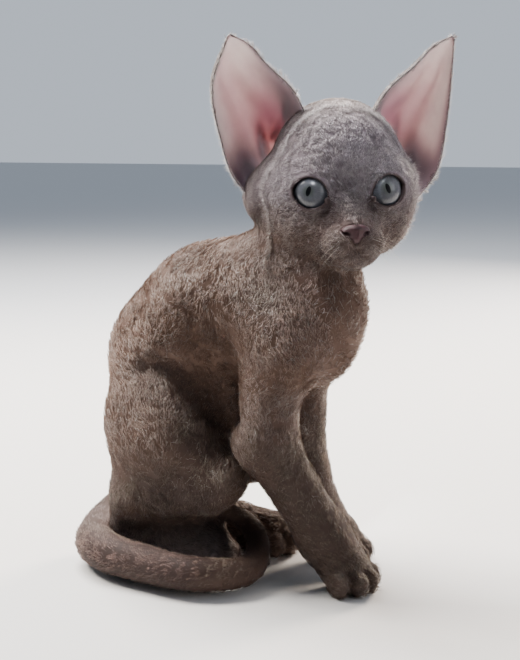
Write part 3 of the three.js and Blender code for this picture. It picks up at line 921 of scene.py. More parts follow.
def coat_colours(tree):
    """The coat's brown, its paler waves and the markings with their painted shade and light, shared by the
    skin and the fur on it.
    """
    where = output(add_node(tree, "ShaderNodeTexCoord"), "Object")
    patches = add_node(tree, "ShaderNodeTexNoise", inputs={
        "Vector": where, "Scale": per_metre(COAT_PATCH), "Detail": 2.0})
    waves = add_node(tree, "ShaderNodeTexNoise", inputs={
        "Vector": where, "Scale": per_metre(COAT_WAVE), "Detail": 3.0, "Distortion": 0.6})
    brown = tinted(tree, colour(COAT_DARK), (patches, COAT_LIGHT))
    waved = add_node(tree, "ShaderNodeMix", {"data_type": "RGBA", "blend_type": "SOFT_LIGHT"},
                     {"Factor": 0.3, "A": brown, "B": waves})
    marks_and_painted_light = add_node(tree, "ShaderNodeAttribute", {"attribute_name": "marks_and_painted_light"})
    marks = add_node(tree, "ShaderNodeSeparateXYZ", inputs={"Vector": output(marks_and_painted_light, "Vector")})
    rim = add_node(tree, "ShaderNodeAttribute", {"attribute_name": "rim"})
    # Grey, pale and dusky tints from the marks, which carry painted light and shade as well as the coat's
    # own markings, then the dark rims of lids and lips
    return tinted(tree, waved, (output(marks, "X"), FACE_GREY), (output(marks, "Z"), CROWN_PALE),
                  (output(marks, "Y"), DUSKY_AND_SHADE), (output(rim, "Fac"), LID_DARK))


def coat_skin_material():
    """Warm skin under thin down: dull, and dimmed towards the roots' brown as painted shade under the fur,
    with a grain drawn coarser than down, which wouldn't show.
    """
    material, tree = new_material("downy_skin")
    where = output(add_node(tree, "ShaderNodeTexCoord"), "Object")
    grain = add_node(tree, "ShaderNodeTexNoise", inputs={
        "Vector": where, "Scale": per_metre(DOWN_GRAIN), "Detail": 3.0})
    bump = add_node(tree, "ShaderNodeBump", inputs={"Strength": 0.35, "Distance": 0.4 * MM, "Height": grain})
    # The skin's colour is mixed towards the roots' brown: painted shade under the fur
    shader = add_node(tree, "ShaderNodeBsdfPrincipled", inputs={
        "Base Color": tinted(tree, coat_colours(tree), (0.45, COAT_ROOT)), "Roughness": 0.7,
        "Specular IOR Level": 0.25, "Normal": bump})
    finish_material(tree, shader)
    return material


def fur_material():
    """Fine rexed fur: brown at the root, dustier at the tip, with a faint sheen along its edges."""
    material, tree = new_material("rexed_fur")
    base = coat_colours(tree)
    strand = add_node(tree, "ShaderNodeAttribute", {"attribute_name": "strand"})
    parts = add_node(tree, "ShaderNodeSeparateXYZ", inputs={"Vector": output(strand, "Vector")})
    shade = add_node(tree, "ShaderNodeAttribute", {"attribute_name": "shade"})
    deep = tinted(tree, base, (0.25, COAT_ROOT))
    pale = add_node(tree, "ShaderNodeMix", {"data_type": "RGBA", "blend_type": "ADD"},
                    {"Factor": 0.5, "A": base, "B": base})
    tone = add_node(tree, "ShaderNodeMix", {"data_type": "RGBA"},
                    {"Factor": output(parts, "X"), "A": deep, "B": pale})
    hair = add_node(tree, "ShaderNodeMapRange", inputs={
        "Value": output(parts, "Y"), "To Min": 0.86, "To Max": 1.16})
    clump = add_node(tree, "ShaderNodeMapRange", inputs={
        "Value": output(shade, "Fac"), "To Min": 0.92, "To Max": 1.08})
    value = add_node(tree, "ShaderNodeMath", {"operation": "MULTIPLY"}, {0: hair, 1: clump})
    varied = add_node(tree, "ShaderNodeHueSaturation", inputs={"Color": tone, "Value": value})
    shader = add_node(tree, "ShaderNodeBsdfPrincipled", inputs={
        "Base Color": varied, "Roughness": 0.6, "Specular IOR Level": 0.2, "Subsurface Weight": 0.5,
        "Subsurface Radius": FUR_SCATTER, "Subsurface Scale": 0.6 * MM, "Sheen Weight": 0.14,
        "Sheen Roughness": 0.4, "Sheen Tint": colour(COAT_SHEEN)})
    finish_material(tree, shader)
    return material


def pale_hair_material(name, tint):
    """Long single hairs: dusty cream, a little glossy, and catching light from behind."""
    material, tree = new_material(name)
    shader = add_node(tree, "ShaderNodeBsdfPrincipled", inputs={
        "Base Color": colour(tint), "Roughness": 0.5, "Specular IOR Level": 0.3, "Subsurface Weight": 0.6,
        "Subsurface Radius": FUR_SCATTER, "Subsurface Scale": 0.4 * MM, "Sheen Weight": 0.3,
        "Sheen Tint": colour(HAIR_GLINT)})
    finish_material(tree, shader)
    return material


PALE_HAIR = pale_hair_material("pale_hair", "#86786e")
EAR_HAIR = pale_hair_material("ear_fringe_hair", "#e0d4ce")
FUR = fur_material()
skin_piece.data.materials.clear()
skin_piece.data.materials.append(coat_skin_material())


# Tufts: a few tapered hairs over a small disc, leaning the same way
TUFT_ROOT_DEPTH = 0.35
HAIR_CORNERS = 3


def tuft(name, hairs, spread, length, width, lift, wave, scatter, rings, seed):
    """A tuft with its root at the origin, up along +Z and lying towards +X."""
    draw = np.random.default_rng(seed)
    vertices, faces, strands, patches = [], [], [], []
    bend = draw.uniform(0, 2 * math.pi)
    corners = range(HAIR_CORNERS)
    for hair in range(hairs):
        angle = draw.uniform(0, 2 * math.pi)
        at = spot(math.cos(angle), math.sin(angle), 0) * spread * math.sqrt(draw.uniform())
        at[2] = -TUFT_ROOT_DEPTH
        reach = length * draw.uniform(0.65, 1.15)
        aside = draw.normal(0, scatter)
        rise = lift * draw.uniform(0.5, 1.5)
        tone = draw.uniform()
        first = len(vertices)
        for ring in range(rings + 1):
            share = ring / rings
            turn = aside + wave * math.sin(2 * math.pi * share + bend)
            slope = rise * (1.25 - share)
            way = spot(math.cos(slope) * math.cos(turn), math.cos(slope) * math.sin(turn), math.sin(slope))
            if ring:
                at = at + way * reach / rings
            if ring == rings:
                vertices.append(at)
                strands.append((1, tone, 0))
                patches.append((0.5, (hair + 0.5) / hairs - 0.5, 0))
                continue
            side = spot(-math.sin(turn), math.cos(turn), 0)
            over = np.cross(way, side)
            radius = width / 2 * (1 - 0.55 * share)
            for k in corners:
                corner = 2 * math.pi * k / HAIR_CORNERS + math.pi / 2
                vertices.append(at + (side * math.cos(corner) + over * math.sin(corner) * 0.6) * radius)
                strands.append((share, tone, 0))
                patches.append((share - 0.5, (hair + k / HAIR_CORNERS) / hairs - 0.5, 0))
        for ring in range(rings - 1):
            for k in corners:
                a = first + ring * HAIR_CORNERS + k
                b = first + ring * HAIR_CORNERS + (k + 1) % HAIR_CORNERS
                faces.append((a, b, b + HAIR_CORNERS, a + HAIR_CORNERS))
        top, last = first + rings * HAIR_CORNERS, first + (rings - 1) * HAIR_CORNERS
        faces += [(last + k, last + (k + 1) % HAIR_CORNERS, top) for k in corners]
        faces.append(tuple(first + k for k in reversed(corners)))
    mesh = bpy.data.meshes.new(name)
    mesh.from_pydata((np.array(vertices) * MM).tolist(), [], faces)
    mesh.shade_smooth()
    write_attribute(mesh, "strand", strands)
    write_attribute(mesh, "patch", patches)
    return bpy.data.objects.new(name, mesh)


# Each kind of tuft is drawn for one length of coat, and scaled to the coat's length at its root. The least
# gap between tufts is a share of the side of the square that each has
TUFT_KINDS = {
    "velvet": dict(hairs=16, spread=1.3, length=1.9, width=0.19, lift=0.42, wave=0.1, scatter=0.35, rings=1),
    "down": dict(hairs=16, spread=1.9, length=3.5, width=0.19, lift=0.38, wave=0.0, scatter=0.35, rings=1),
    "plush": dict(hairs=16, spread=2.2, length=4.9, width=0.23, lift=0.4, wave=0.0, scatter=0.22, rings=1),
    "lock": dict(hairs=10, spread=1.7, length=6.4, width=0.27, lift=0.45, wave=0.4, scatter=0.18, rings=2),
    "guard": dict(hairs=4, spread=3.4, length=5.0, width=0.13, lift=0.9, wave=0.0, scatter=0.6, rings=1),
    "fringe": dict(hairs=6, spread=1.0, length=3.2, width=0.17, lift=0.25, wave=0.0, scatter=0.35, rings=1),
}
DRAWN_FOR = {"velvet": 1.9, "down": 3.2, "plush": 3.8, "lock": 5.6, "guard": 3.8, "fringe": 2.8}
TUFT_VARIANTS = 6
TUFT_SEED = 100
TUFT_STRAY = 0.35
TUFT_GAP = 0.45

# The tufts of each part's coat: their kind, how far they are leant over, and how far they stray aside
TUFTS_OF = {
    "face": ("velvet", 0.0, TUFT_STRAY),
    "crown": ("down", 0.0, TUFT_STRAY),
    "neck": ("plush", -0.25, TUFT_STRAY),
    "chest": ("lock", -0.45, TUFT_STRAY),
    "back": ("plush", -0.3, TUFT_STRAY),
    "thigh": ("plush", -0.2, TUFT_STRAY),
    "shank": ("plush", 0.0, TUFT_STRAY),
    "foreleg": ("plush", -0.2, TUFT_STRAY),
    "foot": ("velvet", 0.0, TUFT_STRAY),
    "tail": ("lock", -0.25, 0.2),
}


def tuft_triangles(kind):
    """Two for each side of a hair's rings, one for each side of its tip, and one at its root."""
    shape = TUFT_KINDS[kind]
    return shape["hairs"] * (2 * HAIR_CORNERS * (shape["rings"] - 1) + HAIR_CORNERS + 1)


def tuft_collection(kind):
    collection = bpy.data.collections.new(f"{kind}_tufts")
    for i in range(TUFT_VARIANTS):
        collection.objects.link(tuft(f"{kind}_{i}", seed=TUFT_SEED + i, **TUFT_KINDS[kind]))
    return collection


TUFTS = {kind: tuft_collection(kind) for kind in TUFT_KINDS}

# What the coat is grown from: its inputs, the marks it reads on the skin and tufts, and its chance values
COAT_INPUTS = {
    "Skin": "Geometry", "Tufts": "Collection", "Drawn Length": "Float", "Most Per Area": "Float",
    "Spacing": "Float", "Lean": "Float", "Scatter": "Float", "Fur": "Material", "Seed": "Int",
}
COAT_MARKS = {
    "cover": "FLOAT", "length": "FLOAT", "lie": "FLOAT_VECTOR", "patch": "FLOAT_VECTOR",
    "root_place": "FLOAT_VECTOR",
}
COAT_CHANCES = {
    "shade": ("FLOAT", 0.0, 1.0, 3), "roll": ("FLOAT", -0.15, 0.15, 11), "stray": ("FLOAT", -1.0, 1.0, 12),
    "growth": ("FLOAT", 0.78, 1.15, 13), "variant": ("INT", 0, TUFT_VARIANTS - 1, 14),
}
BAKE_PATCH = 0.003
FLOOR_GAP = 0.2 * MM


def coat_tree():
    """Tufts strewn over a patch of skin, each along the lie of the coat, and joined into one mesh."""
    tree = bpy.data.node_groups.new("coat", "GeometryNodeTree")
    sockets = {}
    for name, kind in COAT_INPUTS.items():
        socket = tree.interface.new_socket(name=name, in_out="INPUT", socket_type=f"NodeSocket{kind}")
        sockets[name] = socket.identifier
    tree.interface.new_socket(name="Coat", in_out="OUTPUT", socket_type="NodeSocketGeometry")
    group = add_node(tree, "NodeGroupInput")
    given = {socket.name: socket for socket in group.outputs if socket.name}
    marks = {name: add_node(tree, "GeometryNodeInputNamedAttribute", {"data_type": kind}, {"Name": name})
             for name, kind in COAT_MARKS.items()}
    chance = {name: add_node(tree, "FunctionNodeRandomValue", {"data_type": kind},
                             {"Min": low, "Max": high, "Seed": seed})
              for name, (kind, low, high, seed) in COAT_CHANCES.items()}
    roots = add_node(tree, "GeometryNodeDistributePointsOnFaces", {"distribute_method": "POISSON"}, {
        "Mesh": given["Skin"], "Distance Min": given["Spacing"], "Density Max": given["Most Per Area"],
        "Density Factor": marks["cover"], "Seed": given["Seed"]})
    shaded = add_node(tree, "GeometryNodeStoreNamedAttribute", {"data_type": "FLOAT", "domain": "POINT"}, {
        "Geometry": roots, "Name": "shade", "Value": chance["shade"]})
    facing = add_node(tree, "FunctionNodeAxesToRotation", {"primary_axis": "Z", "secondary_axis": "X"}, {
        "Primary Axis": output(roots, "Normal"), "Secondary Axis": marks["lie"]})
    aside = add_node(tree, "ShaderNodeMath", {"operation": "MULTIPLY"},
                     {0: given["Scatter"], 1: chance["stray"]})
    sway = add_node(tree, "ShaderNodeCombineXYZ", inputs={
        "X": chance["roll"], "Y": given["Lean"], "Z": aside})
    swayed = add_node(tree, "FunctionNodeEulerToRotation", inputs={"Euler": sway})
    turn = add_node(tree, "FunctionNodeRotateRotation", {"rotation_space": "LOCAL"}, {
        "Rotation": facing, "Rotate By": swayed})
    ratio = add_node(tree, "ShaderNodeMath", {"operation": "DIVIDE"},
                     {0: marks["length"], 1: given["Drawn Length"]})
    size = add_node(tree, "ShaderNodeMath", {"operation": "MULTIPLY"}, {0: ratio, 1: chance["growth"]})
    kinds = add_node(tree, "GeometryNodeCollectionInfo", {"transform_space": "ORIGINAL"}, {
        "Collection": given["Tufts"], "Separate Children": True, "Reset Children": True})
    placed = add_node(tree, "GeometryNodeInstanceOnPoints", inputs={
        "Points": shaded, "Instance": kinds, "Pick Instance": True, "Instance Index": chance["variant"],
        "Rotation": turn, "Scale": size})
    real = add_node(tree, "GeometryNodeRealizeInstances", inputs={"Geometry": placed})
    spread = add_node(tree, "ShaderNodeVectorMath", {"operation": "SCALE"},
                      {0: marks["patch"], "Scale": BAKE_PATCH})
    patch = add_node(tree, "ShaderNodeVectorMath", {"operation": "ADD"}, {0: marks["root_place"], 1: spread})
    mapped = add_node(tree, "GeometryNodeStoreNamedAttribute", {"data_type": "FLOAT2", "domain": "CORNER"}, {
        "Geometry": real, "Name": "OFBake", "Value": patch})
    here = add_node(tree, "ShaderNodeSeparateXYZ", inputs={
        "Vector": add_node(tree, "GeometryNodeInputPosition")})
    height = add_node(tree, "ShaderNodeMath", {"operation": "MAXIMUM"}, {0: output(here, "Z"), 1: FLOOR_GAP})
    raised = add_node(tree, "ShaderNodeCombineXYZ", inputs={
        "X": output(here, "X"), "Y": output(here, "Y"), "Z": height})
    above = add_node(tree, "GeometryNodeSetPosition", inputs={"Geometry": mapped, "Position": raised})
    coated = add_node(tree, "GeometryNodeSetMaterial", inputs={"Geometry": above, "Material": given["Fur"]})
    add_node(tree, "NodeGroupOutput", inputs={"Coat": coated})
    return tree, sockets


COAT_TREE, COAT_SOCKETS = coat_tree()


def grow_coat(name, patch, kind, density, seed, fur=FUR, lean=0.0, scatter=TUFT_STRAY):
    """Grows a coat on a patch of skin, which it uses up."""
    piece = put_in_scene(name, patch)
    grown = piece.modifiers.new("coat", "NODES")
    grown.node_group = COAT_TREE
    values = {"Tufts": TUFTS[kind], "Drawn Length": DRAWN_FOR[kind] * MM, "Most Per Area": density,
              "Spacing": TUFT_GAP / math.sqrt(density), "Lean": lean, "Scatter": scatter, "Fur": fur,
              "Seed": seed}
    for key, value in values.items():
        grown[COAT_SOCKETS[key]] = value
    make_plain(piece)
    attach(piece, "root")


def patch_of(mesh, keep, name):
    """The part of a mesh whose faces are kept, with its attributes."""
    shape = bmesh.new()
    shape.from_mesh(mesh)
    shape.faces.ensure_lookup_table()
    bmesh.ops.delete(shape, geom=[shape.faces[i] for i in np.flatnonzero(~keep)], context="FACES")
    part = bpy.data.meshes.new(name)
    shape.to_mesh(part)
    shape.free()
    return part


def unwrap(piece):
    """Writes OFBake on the skin, and the same place as a vector that the tufts can carry."""
    bpy.ops.object.select_all(action="DESELECT")
    bpy.context.view_layer.objects.active = piece
    piece.select_set(True)
    piece.data.uv_layers.new(name="OFBake")
    bpy.ops.object.mode_set(mode="EDIT")
    bpy.ops.mesh.select_all(action="SELECT")
    bpy.ops.uv.smart_project(angle_limit=math.radians(66), island_margin=0.004)
    bpy.ops.object.mode_set(mode="OBJECT")
    places = values_of(piece.data.uv_layers["OFBake"].uv, "vector", 2)
    write_attribute(piece.data, "root_place", np.pad(places, ((0, 0), (0, 1))), "CORNER")


def face_arrays(mesh):
    """Each face's centre in the kitten's own frame, its area, and its first vertex."""
    centres = values_of(mesh.polygons, "center", 3) / MM - ORIGIN
    starts = values_of(mesh.polygons, "loop_start", kind=int)
    corners = values_of(mesh.loops, "vertex_index", kind=int)
    return centres, values_of(mesh.polygons, "area"), corners[starts]


# How many triangles a piece of the coat may have, how many tufts a square metre has, and the coats' seeds
COAT_LIMIT = 165000
PER_CM2 = 1e4
MOST_TUFTS = THICKEST * PER_CM2
GUARD_TUFTS = 9 * PER_CM2
COAT_SEED = 40
COAT_SEED_STEP = 7
GUARD_SEED = 200


def grow_in_parts(name, mesh, chosen, kind, density, seed, **manner):
    """Grows one kind of tuft on some faces, in as many pieces, by height, as keep each piece small."""
    centres, areas, first = face_arrays(mesh)
    cover = values_of(mesh.attributes["cover"].data, "value")
    load = areas[chosen] * cover[first[chosen]] * density * tuft_triangles(kind)
    order = np.argsort(centres[chosen, 2])
    share = np.cumsum(load[order])
    count = max(1, int(math.ceil(share[-1] / COAT_LIMIT)))
    for part in range(count):
        here = order[(share > share[-1] * part / count) & (share <= share[-1] * (part + 1) / count)]
        keep = np.zeros(len(mesh.polygons), bool)
        keep[chosen[here]] = True
        label = name + (f"_{part + 1}" if count > 1 else "")
        grow_coat(label, patch_of(mesh, keep, label), kind, density, seed + part, **manner)


def coat_all(piece, weights):
    """Grows each part's coat, then a thin scatter of longer pale hairs over all but the tail."""
    mesh = piece.data
    names = list(weights)
    heaviest = np.argmax(np.stack([weights[name] for name in names]), 0)
    part_of_face = heaviest[face_arrays(mesh)[2]]
    for i, name in enumerate(names):
        kind, lean, scatter = TUFTS_OF[name]
        grow_in_parts(f"coat_{name}", mesh, np.flatnonzero(part_of_face == i), kind, MOST_TUFTS,
                      COAT_SEED + COAT_SEED_STEP * i, lean=lean, scatter=scatter)
    chosen = np.flatnonzero(part_of_face != names.index("tail"))
    grow_in_parts("guard_hairs", mesh, chosen, "guard", GUARD_TUFTS, GUARD_SEED, fur=PALE_HAIR)


unwrap(skin_piece)
coat_all(skin_piece, skin_weights)


# Ears: each a cup of half ellipses strung between its inner edge, its deepest line and its outer edge
EAR_LEAN = 4.5
EAR_TURN_IN = 1.5
EAR_LEAN_FROM = 30
EAR_THICKNESS = 1.5
EAR_AROUND, EAR_ALONG = 44, 52
EAR_TIP_SHARE = 0.985

# Each line's share of the ear's lean, and its spots up to the tip
EAR_LINES = {
    "inner": (1, [(-22, 14, 30), (-24, 22, 44), (-28, 35, 56), (-31, 43, 64.5)]),
    "deep": (0.3, [(-44, 24, 12), (-52, 33, 26), (-52, 43, 42), (-45, 50.5, 58)]),
    "outer": (0, [(-27, 34, -9), (-31, 47.5, 7), (-35, 52.5, 24), (-35.5, 55.5, 47)]),
}

# Folds low in the cup: how far each stands up, its turn and share, how wide and long it is, and its slant
EAR_FOLDS = [
    (2.4, 1.45, 0.17, 0.13, 0.1, 1.5),
    (1.6, 1.85, 0.15, 0.2, 0.03, 0),
    (2.0, 0.8, 0.12, 0.16, 0.08, 0.8),
    (1.8, 2.35, 0.14, 0.16, 0.1, 1.2),
    (0.4, 1.9, 0.45, 0.18, 0.2, -0.5),
    (0.3, 1.2, 0.5, 0.14, 0.25, 0),
    (-1.2, 1.65, 0.12, 0.1, 0.05, 0),
    (-1.0, 1.1, 0.1, 0.14, 0.06, 0),
]
DEEPEST_FOLD = -0.45


def ear_lines(side):
    def put(x, y, z, lean):
        height = max(0, z - EAR_LEAN_FROM) / (EAR_LENGTH - EAR_LEAN_FROM)
        return (x, side * y + EAR_LEAN * lean * height, z - side * EAR_TURN_IN * height)

    tip = put(-33, EAR_SPREAD / 2, EAR_LENGTH, 1)
    return {name: Curve(*(put(*xyz, lean) for xyz in spots), tip)
            for name, (lean, spots) in EAR_LINES.items()}


def ear_surface(lines, turn, share):
    """Spots on an ear: turn 0 is its outer edge, half a turn its inner edge, and share runs to the tip."""
    inner, outer, deep = (lines[name].at(share) for name in ("inner", "outer", "deep"))
    middle = (inner + outer) / 2
    return middle + (outer - middle) * np.cos(turn)[:, None] + (deep - middle) * np.sin(turn)[:, None]


def ridge(turn, share, turn_at, share_at, across, along, slant=0):
    """A soft ridge inside an ear: 1 at its middle, with how wide and long it is."""
    aside = turn - turn_at - slant * (share - share_at)
    return hump(aside, across) * hump(share - share_at, along)


def unit(ways):
    return ways / np.maximum(np.linalg.norm(ways, axis=-1, keepdims=True), 1e-9)


def mark_ear(piece, turn, share, along, off_deep):
    """Writes on an ear its rim, down, back and tones, and what its velvet and fringe need."""
    outer = np.repeat([0.0, 1.0], len(turn))
    inner = 1 - outer
    rim = 1 - smooth(np.minimum(turn, math.pi - turn) / 0.45)
    rim = np.tile(np.maximum(rim, smooth((share - 0.92) / 0.08)), 2)
    downy = smooth((turn - math.pi + 0.8) / 0.3) * smooth((0.9 - share) / 0.2)
    downy = np.maximum(downy, smooth((1.0 - turn) / 0.3) * smooth((0.32 - share) / 0.15))
    write_attribute(piece.data, "ear", np.stack([rim, np.tile(downy, 2) * inner, outer], -1))
    rose = 0.9 * ridge(turn, share, 2.0, 0.22, 0.5, 0.2) + 0.35 * ridge(turn, share, 1.3, 0.45, 0.4, 0.3)
    red = 0.55 * ridge(turn, share, 1.7, 0.13, 0.28, 0.09)
    dusky = smooth((1.5 - turn) / 0.6) * (1 - smooth((share - 0.2) / 0.25))
    dusky = np.maximum(dusky, 0.8 * smooth((turn - 2.1) / 0.6) * (1 - smooth((share - 0.25) / 0.45)))
    tones = np.stack([np.clip(rose, 0, 1), red, dusky], -1) * np.clip(1 - 0.6 * red, 0, 1)[:, None]
    write_attribute(piece.data, "ear_tone", np.tile(tones, (2, 1)))
    way = np.tile(along @ HEAD_TURN.T, (2, 1))
    aside = np.tile(off_deep @ HEAD_TURN.T, (2, 1))
    fringed = rim > 0.6
    way = np.where(fringed[:, None], unit(way) + 0.9 * unit(aside), way)
    write_attribute(piece.data, "lie", way)
    write_attribute(piece.data, "length", np.where(fringed, 2.6, 2.2) * MM)
    write_attribute(piece.data, "cover", np.ones(len(outer)))
    low = np.tile(smooth((0.4 - share) / 0.3), 2)
    dusk = 0.35 * outer + 0.6 * inner * low
    write_attribute(piece.data, "marks_and_painted_light", np.stack([0.35 + 0.45 * inner, dusk, np.zeros_like(dusk)], -1))


def make_ear(name, side):
    """A thin cup with folds low inside it, thinner at its rim and with its tip rounded."""
    lines = ear_lines(side)
    turn, share = (grid.ravel() for grid in np.meshgrid(
        np.linspace(0, math.pi, EAR_AROUND), np.linspace(0, EAR_TIP_SHARE, EAR_ALONG), indexing="xy"))
    step = 0.004
    middle = np.clip(share, step, 1 - step)
    along = ear_surface(lines, turn, middle + step) - ear_surface(lines, turn, middle - step)
    around = ear_surface(lines, turn + step, middle) - ear_surface(lines, turn - step, middle)
    outward = unit(np.cross(around, along) * -side)
    base = ear_surface(lines, turn, share)
    if (outward * (lines["deep"].at(share) - lines["inner"].at(share))).sum() < 0:
        outward = -outward
    edge = np.sin(turn) ** 0.5
    thick = EAR_THICKNESS * (1 - 0.45 * share) * (0.5 + 0.5 * edge)
    folds = sum(height * ridge(turn, share, *fold) for height, *fold in EAR_FOLDS)
    inside = base - outward * (np.clip(folds, DEEPEST_FOLD, None) * edge)[:, None]
    outside = base + outward * thick[:, None]
    count = EAR_AROUND * EAR_ALONG
    at = np.arange(count).reshape(EAR_ALONG, EAR_AROUND)
    quads = []
    for row in range(EAR_ALONG - 1):
        for column in range(EAR_AROUND - 1):
            a, b, c, d = at[row, column], at[row, column + 1], at[row + 1, column + 1], at[row + 1, column]
            quads += [(a, b, c, d), (a + count, d + count, c + count, b + count)]
    border = [*at[0, :], *at[1:, -1], *at[-1, -2::-1], *at[-2:0:-1, 0]]
    quads += [(b, a, a + count, b + count) for a, b in zip(border, border[1:] + border[:1])]
    piece = mesh_object(name, out_of_head(np.concatenate([inside, outside])), quads)
    shape = bmesh.new()
    shape.from_mesh(piece.data)
    bmesh.ops.recalc_face_normals(shape, faces=shape.faces)
    shape.to_mesh(piece.data)
    shape.free()
    mark_ear(piece, turn, share, along, base - lines["deep"].at(share))
    return piece


# The ear's skin: its colours, and the sizes of its mottle and grain in millimetres
EAR_GREYISH = "#d2bec1"
EAR_PALE = "#f0e2df"
EAR_ROSE = "#c29fab"
EAR_RED = "#dba09e"
EAR_DUSKY = "#75666f"
EAR_RIM = "#94838a"
EAR_BACK = "#4e403a"
EAR_MOTTLE = 6.25
EAR_GRAIN = 1000 / 1100


def ear_material():
    """Thin bare skin: greyish pink that lets light through, rosier low in the cup, red at the canal."""
    material, tree = new_material("ear_skin")
    where = output(add_node(tree, "ShaderNodeTexCoord"), "Object")
    mottle = add_node(tree, "ShaderNodeTexNoise", inputs={
        "Vector": where, "Scale": per_metre(EAR_MOTTLE), "Detail": 5.0})
    ear = add_node(tree, "ShaderNodeAttribute", {"attribute_name": "ear"})
    parts = add_node(tree, "ShaderNodeSeparateXYZ", inputs={"Vector": output(ear, "Vector")})
    tone = add_node(tree, "ShaderNodeAttribute", {"attribute_name": "ear_tone"})
    tones = add_node(tree, "ShaderNodeSeparateXYZ", inputs={"Vector": output(tone, "Vector")})
    base = tinted(tree, colour(EAR_GREYISH), (mottle, EAR_PALE), (output(tones, "X"), EAR_ROSE),
                  (output(tones, "Y"), EAR_RED), (output(tones, "Z"), EAR_DUSKY),
                  (output(parts, "X"), EAR_RIM), (output(parts, "Z"), EAR_BACK))
    grain = add_node(tree, "ShaderNodeTexNoise", inputs={
        "Vector": where, "Scale": per_metre(EAR_GRAIN), "Detail": 3.0})
    bump = add_node(tree, "ShaderNodeBump", inputs={"Strength": 0.3, "Distance": 0.2 * MM, "Height": grain})
    shader = add_node(tree, "ShaderNodeBsdfPrincipled", inputs={
        "Base Color": base, "Roughness": 0.62, "Specular IOR Level": 0.3, "Subsurface Weight": 0.5,
        "Subsurface Radius": (1.0, 0.92, 0.9), "Subsurface Scale": 3.6 * MM, "Sheen Weight": 0.25,
        "Normal": bump})
    finish_material(tree, shader)
    return material


EAR_MATERIAL = ear_material()

# The hairs of the ear: tufts in a square metre, and the seeds of its coats
EAR_TUFTS = 20 * PER_CM2
LINING_TUFTS = 30 * PER_CM2
FRINGE_TUFTS = 120 * PER_CM2
EAR_SEED = 81
FRINGE_SEED = 82
LINING_SEED = 83


def dress_ear(name, side):
    """Gives an ear its skin, the velvet of its back, the down of its lining and its fringe."""
    ear = make_ear(f"ear_skin_{name}", side)
    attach(ear, "root")
    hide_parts(f"ear_{name}")
    ear.data.materials.append(EAR_MATERIAL)
    unwrap(ear)
    marks = values_of(ear.data.attributes["ear"].data, "vector", 3)
    rim, downy, back = marks[face_arrays(ear.data)[2]].T
    grow_coat(f"coat_ear_{name}", patch_of(ear.data, back > 0.5, "back"), "velvet", EAR_TUFTS, EAR_SEED)
    grow_coat(f"coat_lining_{name}", patch_of(ear.data, downy > 0.5, "lining"), "velvet", LINING_TUFTS,
              LINING_SEED)
    grow_coat(f"fringe_ear_{name}", patch_of(ear.data, rim > 0.8, "rim"), "fringe", FRINGE_TUFTS,
              FRINGE_SEED, fur=EAR_HAIR)


for name, side in SIDES.items():
    dress_ear(name, side)


# Eyes: the shape of the ball and pupil, where each eye looks from the middle of its lids, outward and up
EYEBALL_GAP = 0.05
EYEBALL_SINK = 0.15
CORNEA_BULGE = 0.7
IRIS_RADIUS = 7.0
PUPIL = (1.0, 2.15)
EYE_GAZE = {"right": (0.5, 1.0), "left": (-1.4, 1.6)}
IRIS_DARK = "#3d3f45"
IRIS_LIGHT = "#6a6b71"
IRIS_MIDDLE = "#4b504d"
IRIS_BORDER = "#454951"
PUPIL_BLACK = "#0a0a0e"


def make_eye(name, side):
    """An eyeball whose clear front bulges a little, turned the way the eye looks."""
    aim, outward, _ = eye_axes(side)
    shape = bmesh.new()
    bmesh.ops.create_uvsphere(shape, u_segments=48, v_segments=32, radius=1)
    mesh = bpy.data.meshes.new(f"eyeball_{name}")
    shape.to_mesh(mesh)
    shape.free()
    ball_spots = values_of(mesh.vertices, "co", 3)
    bulge = CORNEA_BULGE * smooth((ball_spots[:, 2] - 0.55) / 0.35)
    local = ball_spots * (EYE_RADIUS - EYEBALL_GAP + bulge)[:, None]
    ahead_last = np.stack([outward, np.cross(aim, outward), aim])
    vertices = out_of_head(eye_centre(side) - EYEBALL_SINK * aim + local @ ahead_last)
    mesh.vertices.foreach_set("co", place(vertices).ravel())
    mesh.shade_smooth()
    mesh.materials.append(eye_material(name, side))
    piece = put_in_scene(f"eyeball_{name}", mesh)
    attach(piece, "root")
    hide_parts(f"eye_{name}")


